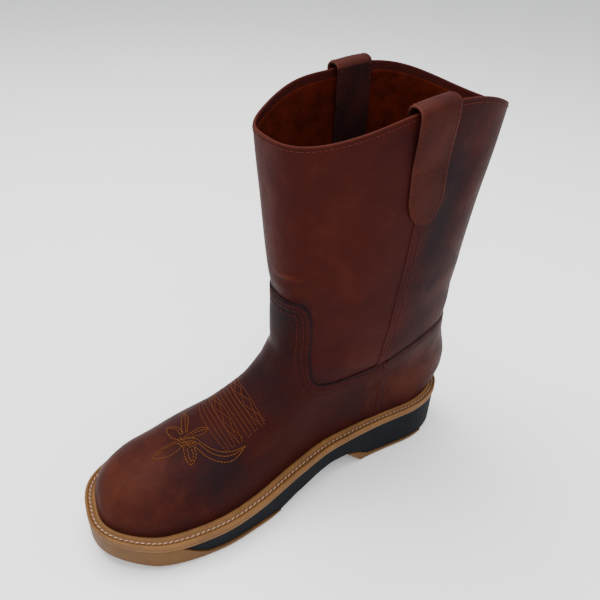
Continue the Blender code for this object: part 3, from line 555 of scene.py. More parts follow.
def find(wanted, axes, allowed):
    """Level and share where two coordinates of the skin come nearest to the wanted ones: the
    nearest of every third grid point, then four steps down the slope."""
    rows, columns = np.nonzero(allowed[::3, ::3])
    rows = rows * 3
    columns = columns * 3
    seen = FORM[rows, columns][:, axes]
    batches = [wanted[first:first + BATCH] for first in range(0, len(wanted), BATCH)]
    closest = np.concatenate([
        np.argmin(((batch[:, None] - seen[None]) ** 2).sum(axis=2), axis=1) for batch in batches])
    level = rows[closest] / (SKIN_ROWS - 1)
    share = columns[closest] / (SIDE_POINTS - 1)
    share = np.where(share > 1, share - 2, share)
    for _ in range(4):
        here, by_level, by_share = (part[:, axes] for part in slopes(level, share))
        miss = wanted - here
        det = cross_flat(by_level, by_share)
        det = np.where(np.abs(det) < 1e-6, 1e-6, det)
        level = level + np.clip(cross_flat(miss, by_share) / det, -0.01, 0.01)
        share = share + np.clip(cross_flat(by_level, miss) / det, -0.01, 0.01)
        level = np.clip(level, 0, 1)
    return level, share


COLUMN = np.arange(RING_POINTS)[None, :]
# Points of the fine grid on each side
SIDES = {
    1: np.broadcast_to(COLUMN < SIDE_POINTS, FORM.shape[:2]),
    -1: np.broadcast_to((COLUMN >= SIDE_POINTS) | (COLUMN == 0), FORM.shape[:2]),
}


def side_view(marks):
    """Marks in side view as x and z in the boot's frame."""
    x = np.array(column(marks, "along")) * LENGTH
    z = welt_top(np.clip(x, 0.0, LENGTH)) + np.array(column(marks, "height")) * UPPER_HEIGHT
    return np.stack([x - HEEL_CENTRE, z], axis=1)


def rounded(points, times=3):
    """An open line with its corners cut: each bend is replaced by its quarter points."""
    for _ in range(times):
        ahead = points[:-1] * 0.75 + points[1:] * 0.25
        behind = points[:-1] * 0.25 + points[1:] * 0.75
        middle = np.stack([ahead, behind], axis=1).reshape(-1, points.shape[1])
        points = np.concatenate([points[:1], middle, points[-1:]])
    return points


def spaced(points, step):
    """Points a step apart along a line."""
    passed = line_lengths(points)
    count = max(2, int(round(passed[-1] / step)) + 1)
    return points_at(np.linspace(0, passed[-1], count), passed, points)


def distance_to(points, line):
    """Distance from flat points to a line of short pieces."""
    flat = points.reshape(-1, 2)
    nearest = np.full(len(flat), 1e9)
    for start, end in zip(line[:-1], line[1:]):
        run = end - start
        size = max(float(run @ run), 1e-16)
        part = np.clip((flat - start) @ run / size, 0, 1)
        nearest = np.minimum(nearest, np.linalg.norm(flat - start - part[:, None] * run, axis=1))
    return nearest.reshape(points.shape[:-1])


VAMP_LINE = spaced(rounded(side_view(VAMP_EDGE)), 1.0 * MM)
COUNTER_LINE = spaced(rounded(side_view(COUNTER_TOP)), 1.0 * MM)


# ---------------------------------------------------------------- meshes


def placed(name, data):
    """A new object in the scene for a camera, a light or a mesh."""
    item = bpy.data.objects.new(name, data)
    bpy.context.scene.collection.objects.link(item)
    return item


def piece(name, vertices, faces, finish, record_slot, stands_for=(), values=None):
    """A mesh object at the origin that rides on the boot, with its finish and its tone values."""
    mesh = bpy.data.meshes.new(name)
    mesh.from_pydata(np.asarray(vertices, float).reshape(-1, 3), [], faces)
    mesh.update()
    if values is not None:
        layer = mesh.color_attributes.new("tone", "FLOAT_COLOR", "POINT")
        colours = np.ones((len(mesh.vertices), 4))
        colours[:, :3] = np.asarray(values).reshape(-1, 3)
        layer.data.foreach_set("color", colours.ravel())
    mesh.shade_smooth()
    mesh.materials.append(finish)
    made = placed(name, mesh)
    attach(made, "root")
    if stands_for:
        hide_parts(*stands_for)
    return made


def quads(rows, columns, wrap_columns=False, wrap_rows=False, flip=False):
    """Faces of a grid, as an array of corner numbers."""
    row = np.arange(rows if wrap_rows else rows - 1)[:, None]
    step = np.arange(columns if wrap_columns else columns - 1)[None, :]
    above = (row + 1) % rows
    after = (step + 1) % columns
    corners = [(row, step), (row, after), (above, after), (above, step)]
    faces = np.stack([at * columns + beside for at, beside in corners], axis=-1)
    faces = faces.reshape(-1, 4)
    return faces[:, ::-1] if flip else faces


def tone(points, edge=None):
    """Dark, light and red amounts of the leather at points: a sum of soft patches, and in dark
    also a given amount of painted shade, such as beside an edge or on a hidden part."""
    amounts = np.zeros(points.shape[:-1] + (3,))
    for patch in PATCHES:
        middle = np.array([patch.x, patch.y, patch.z]) * MM
        away = (points - middle) / (np.array([patch.wide, patch.deep, patch.high]) * MM)
        weight = np.exp(-np.sum(away**2, axis=-1))
        amounts += weight[..., None] * np.array([patch.dark, patch.light, patch.red])
    if edge is not None:
        amounts[..., 0] += edge
    return np.clip(amounts, 0.0, 1.0)


# Soft patches where waxed leather is darker, lighter or redder: centre and half sizes in mm
PATCHES = [Patch(*row) for row in (
    (228, -2, 48, 34, 46, 34, 0.0, 0.70, 0.0),
    (112, 20, 186.5, 5, 12, 1.5, 0.0, 1.0, 0.8),
    (205, 42, 34, 34, 16, 14, 0.25, 0.0, 0.45),
    (168, 30, 52, 26, 20, 18, 0.85, 0.0, 0.0),
    (190, 0, 70, 20, 26, 16, 0.35, 0.0, 0.0),
    (125, 10, 110, 22, 34, 30, 0.80, 0.0, 0.0),
    (112, 0, 160, 16, 34, 20, 0.95, 0.0, 0.0),
    (56, 44, 62, 22, 20, 20, 0.95, 0.0, 0.0),
    (108, 0, 230, 22, 50, 60, 0.0, 0.18, 0.35),
    (80, 45, 190, 24, 26, 60, 0.0, 0.10, 0.45),
    (66, 45, 110, 30, 20, 18, 0.45, 0.0, 0.1),
    (14, 40, 200, 16, 40, 90, 0.95, 0.0, 0.0),
    (-22, 10, 190, 20, 60, 80, 0.55, 0.35, 0.0),
    (-4, 34, 70, 34, 30, 28, 0.0, 0.50, 0.80),
    (20, 45, 270, 30, 30, 26, 0.3, 0.0, 0.1),
    (150, -40, 60, 40, 20, 24, 0.4, 0.1, 0.2),
    (60, -45, 180, 50, 20, 70, 0.25, 0.1, 0.3),
)]


def worn_lighter(values, lighter, cleaner):
    """Tone values of a worn place: more light, and a share less dark."""
    values[..., 1] = np.clip(values[..., 1] + lighter, 0, 1)
    values[..., 0] *= 1 - cleaner


def upper_shell(finish):
    """Outer leather: the skin from the midsole to the collar, rolled over a half circle at the
    collar and down inside for a short facing."""
    levels = np.concatenate([np.linspace(0, 0.99, 204), [0.993, 0.996, 0.998, 0.9991, 1.0]])
    share = np.linspace(0, 2, 421)[:-1]
    wall = on_boot(levels[:, None], share[None, :])
    turn = np.linspace(0, np.pi, 9)[1:, None, None]
    top = on_boot(1.0, share)
    out = unit(sampled(OUT, 1.0, share))
    up = unit(top - on_boot(0.985, share))
    half = WALL / 2
    rim = top + out * (np.cos(turn) - 1) * half + up * np.sin(turn) * half * 0.9
    drop = np.array([0.002, 0.004, 0.007, 0.010])
    inside = on_boot((1 - drop)[:, None], share[None, :], -WALL)
    grid = np.concatenate([wall, rim, inside])
    side = grid[..., [0, 2]]
    # Painted shade: the shaft is darkened in a thin line beside the vamp's and the counter's edges, where
    # they stand over it.
    near = np.minimum(distance_to(side, VAMP_LINE[::2]), distance_to(side, COUNTER_LINE[::2]))
    values = tone(grid, 0.65 * bell(near, EDGE_ROUND))
    collar = np.zeros((len(grid), 1))
    collar[len(levels):len(levels) + 5] = 1.0
    worn_lighter(values, 0.5 * collar, 0.8 * collar)
    return piece("upper_leather", grid, quads(*grid.shape[:2], wrap_columns=True), finish, "leather",
                 ("upper",), values)


def lining(finish):
    """Suede lining: the skin moved in by the wall, from below the facing to the insole."""
    levels = np.concatenate([[0.9925, 0.992], np.linspace(0.990, 0.02, 150)])
    depth = WALL + np.concatenate([[-0.2, 0.4], np.full(150, 0.5)]) * MM
    share = np.linspace(0, 2, 321)[:-1]
    grid = on_boot(levels[:, None], share[None, :], -depth[:, None])
    return piece("suede_lining", grid, quads(*grid.shape[:2], wrap_columns=True), finish, "leather",
                 (), tone(grid))


def lap_height(near):
    """Height of a leather edge, as a share: a quarter round beside the edge."""
    part = np.clip(near / EDGE_ROUND, 0, 1)
    return np.sqrt(np.clip(1 - (1 - part) ** 2, 0, 1))


def skived(near, share):
    """Share of a panel's height that its skived leather has at a distance from its edge."""
    return share + (1 - share) * smoothstep(near / SKIVE_WIDTH)


def seam_over(points):
    """Extra height of the vamp where it laps over the counter: by its back seam, and low down."""
    behind = 1 - ramp(points[..., 0], LAP_SEAM + 3 * MM, LAP_SEAM + 10 * MM)
    return LAP_HEIGHT * behind * (1 - ramp(points[..., 2], 0.088, 0.100))


def side_columns(edge, lengths, fine, count):
    """Shares from the front to an edge: first even ones, then a few at fixed distances from it."""
    close = edge[:, None] - np.array(fine)[None, :] / lengths[:, None]
    last = np.maximum(close[:, -1:], 0.0)
    even = last * np.linspace(0, 1, count)[None, :]
    return np.concatenate([even, np.maximum(close[:, ::-1][:, 1:], 0.0)], axis=1)


def missed(line, level, share):
    """How far in side view the skin found is from the line that was looked for."""
    return np.linalg.norm(sampled(FORM, level, share)[:, [0, 2]] - line, axis=1)


def edge_on(line, side, to_front):
    """A panel's edge as levels and shares on one side; the vamp's is carried on, level, to the
    middle of the front."""
    level, share = find(line, [0, 2], SIDES[side])
    good = (missed(line, level, share) < NEAR_MISS) & (line[:, 1] > 0)
    good &= (side * share > FRONT_SHARE) & (side * share < BACK_SHARE)
    level = level[good]
    share = share[good]
    if to_front:
        level = np.append(level, np.full(14, level[-1]))
        share = np.append(share, share[-1] * np.linspace(1, 0, 15)[1:])
    return level, share


def vamp_panel(finish):
    """Vamp: rows of constant level that start at the front and end on the panel's edge; it
    stands off the skin by its thickness, rounded down at the edge and lifted over the counter."""
    level, share_in = find(VAMP_LINE, [0, 2], SIDES[1])
    _, share_out = find(VAMP_LINE, [0, 2], SIDES[-1])
    good = (missed(VAMP_LINE, level, share_in) < NEAR_MISS) & (VAMP_LINE[:, 1] > 0)
    good &= (share_in > FRONT_SHARE) & (share_out < -FRONT_SHARE)
    level = level[good]
    share_in = share_in[good]
    share_out = -share_out[good]
    level = np.maximum.accumulate(level) + np.linspace(0, 1e-4, len(level))
    tip = np.linspace(1, 0, 14)[1:]
    level = np.concatenate([level, level[-1] + (1 - tip) * 0.0008])
    share_in = np.concatenate([share_in, share_in[-1] * tip**0.7])
    share_out = np.concatenate([share_out, share_out[-1] * tip**0.7])
    fine = np.array([0, 0.12, 0.3, 0.55, 0.85, 1.2, 1.8, 2.6]) * MM
    row = np.clip(level, 0, 1) * (SKIN_ROWS - 1)
    right = side_columns(share_in, np.interp(row, np.arange(SKIN_ROWS), inner_length), fine, 96)
    left = side_columns(share_out, np.interp(row, np.arange(SKIN_ROWS), outer_length), fine, 96)
    share = np.concatenate([-left[:, :0:-1], right], axis=1)
    levels = np.broadcast_to(level[:, None], share.shape)
    bare = on_boot(levels, share)
    near = np.minimum(distance_to(bare[..., [0, 2]], VAMP_LINE), FAR)
    near[:, [0, -1]] = 0.0
    from_tip = np.arange(14)[::-1, None] * 0.16 * MM
    near[-14:] = np.minimum(near[-14:], from_tip)
    full = (GAP + OVERLAY + EDGE_SUNK) * skived(near, VAMP_SKIVE) + seam_over(bare)
    grid = on_boot(levels, share, full * lap_height(near) - EDGE_SUNK)
    # Painted shade: a dark line along the vamp's rounded edge.
    values = tone(grid, 0.8 * bell(near, EDGE_SHADE))
    return piece("vamp_leather", grid, quads(*grid.shape[:2]), finish, "overlay_leather", ("vamp",), values)


def counter_panel(finish):
    """Heel counter: columns of constant share between the two side seams, each from the midsole
    up to the panel's top edge; its front is carried on under the vamp."""
    seam = spaced(rounded(side_view(COUNTER_SEAM), 2), 1.0 * MM)
    ahead = 5 * MM * (1 - ramp(seam[:, 1], 0.086, 0.094))
    fronts = []
    tops = []
    for allowed in SIDES.values():
        level_s, share_s = find(seam + np.stack([ahead, 0 * ahead], axis=1), [0, 2], allowed)
        level_t, share_t = find(COUNTER_LINE, [0, 2], allowed)
        share_s = np.abs(share_s)
        share_t = np.abs(share_t)
        order = np.argsort(level_s)
        fronts.append((level_s[order], share_s[order]))
        start = np.interp(level_t, level_s[order], share_s[order])
        place = np.clip((share_t - start) / (1 - start), 0, 1)
        order = np.argsort(place)
        tops.append((place[order], level_t[order]))
    fine = 1 - np.cos(np.linspace(0, np.pi / 2, 80))
    grids = []
    shares = []
    low = WELT_LEVEL * 0.7
    sharp = 1 - (1 - np.linspace(0, 1, 14)[1:]) ** 2
    down = np.concatenate([np.linspace(0, 1, 60) * 0.93, 0.93 + 0.07 * sharp])
    for (level_s, share_s), (place, level_t) in zip(fronts, tops):
        keep = place > 0.004
        edge = np.interp(fine, place[keep], level_t[keep])
        levels = low + (edge - low)[None, :] * down[:, None]
        start = np.interp(levels, level_s, share_s)
        grids.append(levels)
        shares.append(start + (1 - start) * fine[None, :])
    levels = np.concatenate([grids[0], grids[1][:, -2::-1]], axis=1)
    share = np.concatenate([shares[0], 2 - shares[1][:, -2::-1]], axis=1)
    bare = on_boot(levels, share)
    near = np.minimum(distance_to(bare[..., [0, 2]], COUNTER_LINE), FAR)
    near[-1] = 0.0
    full = (GAP + OVERLAY + 0.2 * MM) * skived(near, COUNTER_SKIVE)
    grid = on_boot(levels, share, full * lap_height(near) - EDGE_SUNK)
    # Painted shade: a dark line along the counter's top edge, and more dark along the vamp's back seam,
    # where the vamp laps over the counter.
    seam_near = distance_to(bare[..., [0, 2]], VAMP_LINE)
    values = tone(grid, 0.8 * bell(near, EDGE_SHADE) + 0.7 * bell(seam_near, 1.0 * MM))
    return piece("counter_leather", grid, quads(*grid.shape[:2]), finish, "overlay_leather",
                 ("heel_counter",), values)


def share_at(level, x, side):
    """Share of one side where each level's ring reaches x."""
    even = np.linspace(0, 1, SIDE_POINTS)
    ring = sampled(FORM, np.asarray(level)[:, None], side * even[None, :])[..., 0]
    return side * np.array([np.interp(want, line[::-1], even[::-1]) for want, line in zip(x, ring)])


def seam_course(side, parts, count):
    """Levels up a side strip, and their shares at parts of its half width in front and behind."""
    (foot, _), (top, _) = SEAM_ENDS
    levels = np.linspace(*find(np.array(SEAM_ENDS), [0, 2], SIDES[side])[0], count)
    middle = np.linspace(foot, top, count)
    shares = [share_at(levels, middle + part * SEAM_WIDTH / 2, side) for part in parts]
    return levels, np.stack(shares, axis=1)


def seam_strip(side, finish):
    """Side seam: a narrow raised strip with soft shoulders sunk into the leather, pressed down
    a little under its two rows of stitches."""
    half_section = [(-1, -0.3), (-0.97, 0.15), (-0.9, 0.42), (-0.75, 0.52), (-0.55, 0.40), (-0.3, 0.54)]
    section = half_section + [(0, 0.56)] + [(-part, height) for part, height in half_section[::-1]]
    across, height = np.array(section).T
    levels, share = seam_course(side, across, 120)
    grid = on_boot(levels[:, None], share, height[None, :] * MM)
    # Painted shade: the strip darkens towards both shoulders, where it meets the leather.
    values = tone(grid, 0.35 * np.abs(across)[None, :] ** 6)
    name = SIDE_NAMES[side]
    return piece("side_strip_" + name, grid, quads(*grid.shape[:2], flip=side > 0), finish, "leather",
                 ("side_seam_" + name,), values)


def strap_path():
    """Depth below the collar, stand off the wall and rise above it along a pull strap: up the
    outside, over in a bow and down the inside."""
    half = STRAP_THICKNESS / 2
    close = GAP + half
    outside = STRAP_SPREAD + half
    depth = np.concatenate([
        STRAP_OUTSIDE - STRAP_WIDTH / 2 * (1 - np.cos(np.linspace(0, np.pi / 2, 22))),
        np.linspace(STRAP_OUTSIDE - STRAP_WIDTH / 2, 0.0, 44)[1:],
    ])
    free = smoothstep((STRAP_OUTSIDE - STRAP_SEWN - depth) / (STRAP_OUTSIDE - STRAP_SEWN))
    stand = close + (outside - close) * free
    turn = np.linspace(0, np.pi, 26)[1:-1]
    middle = -WALL / 2
    bow = outside - middle
    down = np.linspace(0.0, STRAP_INSIDE, 40)
    inner_stand = middle - bow + (outside - close) * smoothstep(down / STRAP_INSIDE)
    path_depth = np.concatenate([depth, 0 * turn, down])
    path_stand = np.concatenate([stand, middle + bow * np.cos(turn), inner_stand])
    crown = (STRAP_CROWN + half) * np.sin(turn) ** 0.8
    path_rise = np.concatenate([0 * depth, crown, 0 * down])
    end = (STRAP_OUTSIDE - depth) / (STRAP_TAPER * STRAP_WIDTH / 2)
    narrow = np.sqrt(np.clip(1 - (1 - np.clip(end, 0.0, 1.0)) ** 2, 0.0, 1.0))
    width = np.concatenate([narrow, np.ones(len(turn) + len(down))])
    return path_depth, path_stand, path_rise, width


def strap_surface(side, across, lift):
    """Points of a strap: across from -1 to 1 of its half width, lifted off its middle layer. It
    follows the boot's skin without its folds."""
    path_depth, path_stand, path_rise, width = strap_path()
    place = STRAP_PLACE[side]
    levels = np.linspace(0.45, 1.0, 300)
    line = on_boot(levels, share_at(levels, np.full(300, place), side))
    left = line_lengths(line[::-1])[::-1]
    level = np.interp(path_depth, left[::-1], levels[::-1])
    flat = np.stack([path_stand, path_rise - path_depth], axis=1)
    along = unit(np.gradient(flat, axis=0))
    normal = np.stack([along[:, 1], -along[:, 0]], axis=1)
    leaning = place - STRAP_LEAN[side] * path_depth / STRAP_OUTSIDE
    rows = []
    for part, raised in zip(across, lift):
        share = share_at(level, leaning + part * width * STRAP_WIDTH / 2, side)
        base = sampled(BARE, level, share)
        out = unit(sampled(BARE_OUT, level, share))
        climb = unit(base - sampled(BARE, level - 0.012, share))
        stand = (path_stand + normal[:, 0] * raised)[:, None]
        rise = (path_rise + normal[:, 1] * raised)[:, None]
        rows.append(base + out * stand + climb * rise)
    return np.stack(rows, axis=1)


def pull_strap(side, finish):
    """Pull strap: a flat section with round edges and a pressed line under each row of
    stitches, carried along the strap's path and closed at both ends."""
    name = SIDE_NAMES[side]
    half = STRAP_THICKNESS / 2
    behind = np.array([-1, -0.985, -0.95, -0.9, -0.84, -0.78, -0.6, -0.3])
    across = np.concatenate([behind, [0], -behind[::-1]])
    pressed = 0.22 * MM * bell(np.abs(across) - 0.84, 0.035)
    thick = half * np.sqrt(np.clip(1 - np.abs(across) ** 14, 0, 1)) - pressed
    top = strap_surface(side, across, thick)
    under = strap_surface(side, across[::-1], -thick[::-1])
    grid = np.concatenate([top, under[:, 1:-1]], axis=1)
    for ring, share in ((0, 0.05), (1, 0.9), (-1, 0.05), (-2, 0.9)):
        middle = grid[ring].mean(axis=0)
        grid[ring] = middle + (grid[ring] - middle) * share
    part = np.concatenate([across, across[::-1][1:-1]])
    # Painted shade: the part of the strap that hangs down inside the shaft is darkened.
    inside = np.linspace(0, 1, len(grid))[:, None] > 0.68
    values = tone(grid, 0.8 * inside)
    worn = 0.7 * np.abs(part)[None, :] ** 12 * ~inside
    worn_lighter(values, worn, worn)
    return piece("strap_leather_" + name, grid, quads(*grid.shape[:2], wrap_columns=True, flip=side < 0),
                 finish, "strap_leather", ("pull_strap_" + name,), values)


# ---------------------------------------------------------------- stitches

# A stitch from end to end: place along it, how fat it is and how it bows, all as shares
BEAD = np.array([
    (-1.0, 0.12, -0.9), (-0.82, 0.7, -0.15), (-0.4, 1.0, 0.25), (0.0, 1.0, 0.35),
    (0.4, 1.0, 0.25), (0.82, 0.7, -0.15), (1.0, 0.12, -0.9),
])
BEAD_SIDES = 6
PROUD = 0.45


def stitch_mesh(middles, runs, outs, length, thick):
    """Many stitches as one mesh: each is a short bead, six sided, fat in the middle and pinched
    into the leather at its ends. Thick is half their thickness."""
    part, fat, bow = BEAD.T[:, None, :, None]
    turn = np.arange(BEAD_SIDES)[:, None] * 2 * np.pi / BEAD_SIDES
    middles, runs, outs, sides = (
        values[:, None] for values in (middles, runs, outs, unit(np.cross(outs, runs)))
    )
    spine = middles + runs * part * length / 2 + outs * (bow + PROUD) * thick
    ring = sides[:, None] * np.cos(turn) + outs[:, None] * np.sin(turn)
    points = spine[:, :, None] + ring * (fat * thick)[:, :, None]
    body = quads(len(BEAD), BEAD_SIDES, wrap_columns=True, flip=True)
    first = np.arange(len(middles)) * len(BEAD) * BEAD_SIDES
    return points.reshape(-1, 3), (body[None] + first[:, None, None]).reshape(-1, 4)


def row_frames(line, outs, pitch, slant=0.0):
    """Stitch middles, directions and outward directions, a pitch apart along a line."""
    passed = line_lengths(line)
    count = max(1, int(passed[-1] / pitch))
    at = (np.arange(count) + 0.5) * passed[-1] / count
    small = 0.2 * pitch
    out = unit(points_at(at, passed, outs))
    run = unit(points_at(at + small, passed, line) - points_at(at - small, passed, line))
    run = unit(run + slant * np.cross(out, run))
    return points_at(at, passed, line), run, out


def stitched(name, lines, pitch, length, thick, finish, record_slot, slant=0.0):
    """One piece of all the stitches along several lines, each given with outward directions."""
    vertices = []
    faces = []
    start = 0
    for line, outs in lines:
        points, found = stitch_mesh(*row_frames(line, outs, pitch, slant), length, thick)
        vertices.append(points)
        faces.append(found + start)
        start += len(points)
    return piece(name, np.concatenate(vertices), np.concatenate(faces), finish, record_slot)


def boot_line(level, share, lift):
    """A line on the boot and its outward directions."""
    return on_boot(level, share, lift), unit(sampled(OUT, level, share))


def nearest(points, level, share):
    """Level and share of the skin nearest to points, by a few least squares steps from a start."""
    for _ in range(8):
        here, by_level, by_share = slopes(level, share)
        miss = points - here
        aa = np.sum(by_level**2, axis=1)
        bb = np.sum(by_share**2, axis=1)
        ab = np.sum(by_level * by_share, axis=1)
        la = np.sum(miss * by_level, axis=1)
        lb = np.sum(miss * by_share, axis=1)
        det = np.maximum(aa * bb - ab * ab, 1e-12)
        level = np.clip(level + np.clip((la * bb - lb * ab) / det, -0.02, 0.02), 0, 1)
        share = share + np.clip((lb * aa - la * ab) / det, -0.02, 0.02)
    return level, share


def panel_rows(line, offset, lift, to_front=True):
    """Stitch lines on both sides of the boot that run along a panel's edge, moved over the skin
    to its inside by an offset."""
    lines = []
    for side in SIDES:
        level, share = edge_on(line, side, to_front)
        edge = on_boot(level, share)
        run = unit(np.gradient(edge, axis=0))
        inward = -unit(np.cross(run, sampled(OUT, level, share))) * side
        level, share = nearest(edge + inward * offset, level, share)
        row = on_boot(level, share)
        gap = np.min(np.linalg.norm(row[:, None] - edge[None], axis=2), axis=1)
        good = np.abs(gap / abs(offset) - 1) < 0.12
        good &= row[:, 2] > welt_top(row[:, 0] + HEEL_CENTRE) + 1.5 * MM
        level = level[good]
        share = share[good]
        lines.append(boot_line(level, share, lift + seam_over(on_boot(level, share))))
    return lines


def seam_line(side, part):
    """A stitch row down a side strip, at a share of its half width."""
    levels, share = seam_course(side, [part], 160)
    return boot_line(levels, share[:, 0], np.full(160, 0.36 * MM))


def strap_rows(side):
    """Stitch rows of a pull strap: down one edge, round its lower end and up the other edge,
    and one across where the strap leaves the boot."""
    low, high = (strap_surface(side, [-0.85, 0.0, 0.85], [STRAP_THICKNESS / 2 + lift * MM] * 3)
                 for lift in (-0.25, 0.75))
    out = unit(high - low)
    depth = strap_path()[0]
    first = int(np.argmax(depth < STRAP_OUTSIDE - 2.3 * MM))
    last = len(low) - 34
    tack = int(np.argmax(depth < STRAP_OUTSIDE - STRAP_SEWN + 2 * MM))
    round_edge = [np.concatenate([part[last:first:-1, 0], part[first:last, 2]]) for part in (low, out)]
    return [round_edge, (low[tack], out[tack])]


# Toe stitching, x and y in mm seen from above: the bug's leaves, each drawn with its outlines
BUG = [
    [(186.5, 0.8), (190.5, -0.6), (196.7, -1.6), (202.3, 0.2), (206.2, 3.0)],
    [(185.0, 7.0), (189.5, 8.2), (194.5, 8.2), (198.9, 7.3), (203.5, 5.6), (206.2, 3.0)],
    [(187.5, 1.8), (191.5, 1.0), (196.7, 0.4), (201.0, 1.8), (203.6, 3.2)],
    [(184.4, 7.8), (186.3, 13.0), (186.9, 18.5), (185.1, 21.9)],
    [(178.6, 12.6), (179.0, 17.9), (181.8, 20.9), (185.1, 21.9)],
    [(182.9, 10.6), (184.0, 14.7), (184.4, 18.2), (183.8, 20.2)],
    [(180.6, 12.6), (181.0, 16.7), (182.0, 18.9), (183.8, 20.2)],
    [(181.1, -1.6), (180.6, -8.0), (183.4, -14.2), (188.0, -17.0)],
    [(185.4, 0.4), (188.8, -4.7), (189.4, -11.0), (188.0, -17.0)],
    [(182.5, -2.0), (182.6, -8.0), (184.4, -12.6), (187.0, -15.2)],
    [(181.0, -2.5), (179.0, -9.9), (176.5, -16.0), (172.4, -21.4)],
    [(178.2, -0.8), (174.6, -7.4), (172.0, -14.0), (172.4, -21.4)],
    [(179.0, -1.0), (176.6, -8.0), (174.4, -14.0), (172.6, -19.0)],
    [(177.2, 1.6), (172.6, 1.4), (168.4, 3.0), (164.9, 6.8)],
    [(176.4, 4.9), (172.3, 7.6), (168.5, 8.7), (164.9, 6.8)],
    [(176.8, 3.2), (172.8, 3.6), (169.4, 5.0), (166.6, 6.6)],
    [(177.5, 14.0), (175.5, 19.9), (172.5, 24.8), (168.0, 28.4), (162.5, 30.6), (156.5, 30.6),
     (151.4, 29.4), (147.6, 28.2)],
    [(175.5, 11.7), (172.9, 18.2), (169.8, 23.4), (165.0, 26.9), (159.0, 28.6), (153.0, 28.8),
     (147.6, 28.2)],
    [(174.9, 8.6), (172.4, 15.7), (168.7, 21.0), (164.2, 24.9), (158.5, 27.0), (153.0, 27.8),
     (147.6, 28.2)],
    [(184.5, 1.2), (181.0, 3.4), (177.4, 6.0), (174.9, 8.6)],
    [(185.0, 4.6), (181.6, 6.0), (178.4, 8.6), (175.5, 11.7)],
    [(184.4, 7.8), (182.0, 8.6), (179.6, 10.8), (177.5, 14.0)],
    [(186.5, 0.8), (183.0, 1.0), (179.6, 1.4), (177.2, 1.6)],
    [(187.5, 1.8), (186.6, 4.6), (184.4, 7.8)],
    [(187.4, 3.0), (183.0, 4.6), (179.0, 6.8), (176.2, 10.4)],
    [(186.4, 6.0), (182.2, 7.2), (178.6, 9.6), (176.6, 12.6)],
    [(184.0, -1.2), (183.0, 3.0), (181.4, 8.0), (181.0, 12.0)],
    [(186.4, 2.2), (182.0, 2.2), (178.0, 4.0), (175.6, 7.0)],
]
# Wrinkle rows back from the bug, in mm: where each crosses the middle and how far down the inner
# side it ends; the pairs of a crossed column change places three times on the way
WRINKLES = [
    (165.2, 161.4, 24.4), (162.0, 159.0, 24.6), (158.9, 156.6, 24.8), (156.0, 153.9, 24.2),
    (147.4, 144.4, 24.8), (144.6, 141.8, 24.6), (142.0, 139.2, 24.4), (139.5, 136.6, 24.2),
]
CROSSED = [(152.6, 149.6, 25.0), (136.5, 132.4, 24.4)]
VAMP_MIDDLE = 3.0


def wrinkle_lines():
    """Wrinkle rows of the vamp: even on both sides of its middle, bent forward in the middle and
    joined in pairs by round turns; a crossed column is two zigzags in step between two rows."""
    lines = []
    reach = np.linspace(-1, 1, 41)

    def row(front, end, wide, swing=0.0, kept=slice(None)):
        """A row that falls back to either side, with a swing along the boot."""
        x = front - (front - end) * np.abs(reach) ** 2.4 + swing
        y = VAMP_MIDDLE + reach * (wide - VAMP_MIDDLE)
        lines.append(list(zip(x[kept], y[kept])))

    for wrinkle in WRINKLES:
        row(*wrinkle)
    turn = np.linspace(0, np.pi, 7)
    for (_, end_a, wide_a), (_, end_b, wide_b) in zip(WRINKLES[::2], WRINKLES[1::2]):
        x = (end_a + end_b) / 2 + (end_a - end_b) / 2 * np.cos(turn)
        wide = (wide_a + wide_b) / 2 - VAMP_MIDDLE + 1.4 * np.sin(turn)
        lines.extend(list(zip(x, VAMP_MIDDLE + side * wide)) for side in (1, -1))
    zigzag = 2.1 * (2 / np.pi) * np.arcsin(np.cos(np.pi * 3 * (reach + 1) / 2))
    bound = 3.2 * (1 - 0.75 * np.abs(reach) ** 3)
    for front, end, wide in CROSSED:
        for sign in (1, -1):
            row(front, end, wide, sign * zigzag)
            for side in (1, -1):
                row(front, end, wide + 1.2, sign * bound, reach * side >= 0)
    return lines


TOP_OF_VAMP = (OUT[..., 2] > 0.12) & (FORM[..., 0] > 0.105)


def top_line(points):
    """A line drawn from above on the vamp, given in mm, rounded and laid on the leather."""
    flat = spaced(rounded(np.array(points, float) * MM, 2), 0.7 * MM)
    level, share = find(flat, [0, 1], TOP_OF_VAMP)
    return boot_line(level, share, np.full(len(flat), ON_PANEL))


# ---------------------------------------------------------------- sole

FOOT_LOOP = sampled(BARE, WELT_LEVEL, np.linspace(0, 2, 1201)[:-1])[:, :2]


def sole_reach(x):
    """How far the sole stands past the upper: less round the heel, and a little less at the toe."""
    wide = HEEL_REACH + (WELT_REACH - HEEL_REACH) * smoothstep((x / LENGTH - 0.15) / 0.35)
    return wide - TOE_TUCK * ramp(x / LENGTH, 0.80, 0.93)


def outline(share=1.0, inset=0.0):
    """The foot's outline at the welt, moved out by a share of the sole's reach less an inset."""
    along = np.roll(FOOT_LOOP, -2, axis=0) - np.roll(FOOT_LOOP, 2, axis=0)
    out = unit(np.stack([along[:, 1], -along[:, 0]], axis=1))
    reach = GAP + (sole_reach(FOOT_LOOP[:, :1] + HEEL_CENTRE) - GAP) * share - inset
    return FOOT_LOOP + out * reach


def station(points):
    """Distance from the back of the sole, with the slant of the toe taken out."""
    x = points[:, 0] + HEEL_CENTRE
    start = SLANT_FROM * LENGTH
    lean = TOE_SLANT * points[:, 1] / (LENGTH - start)
    return np.where(x > start, (x + start * lean) / (1 + lean), x)


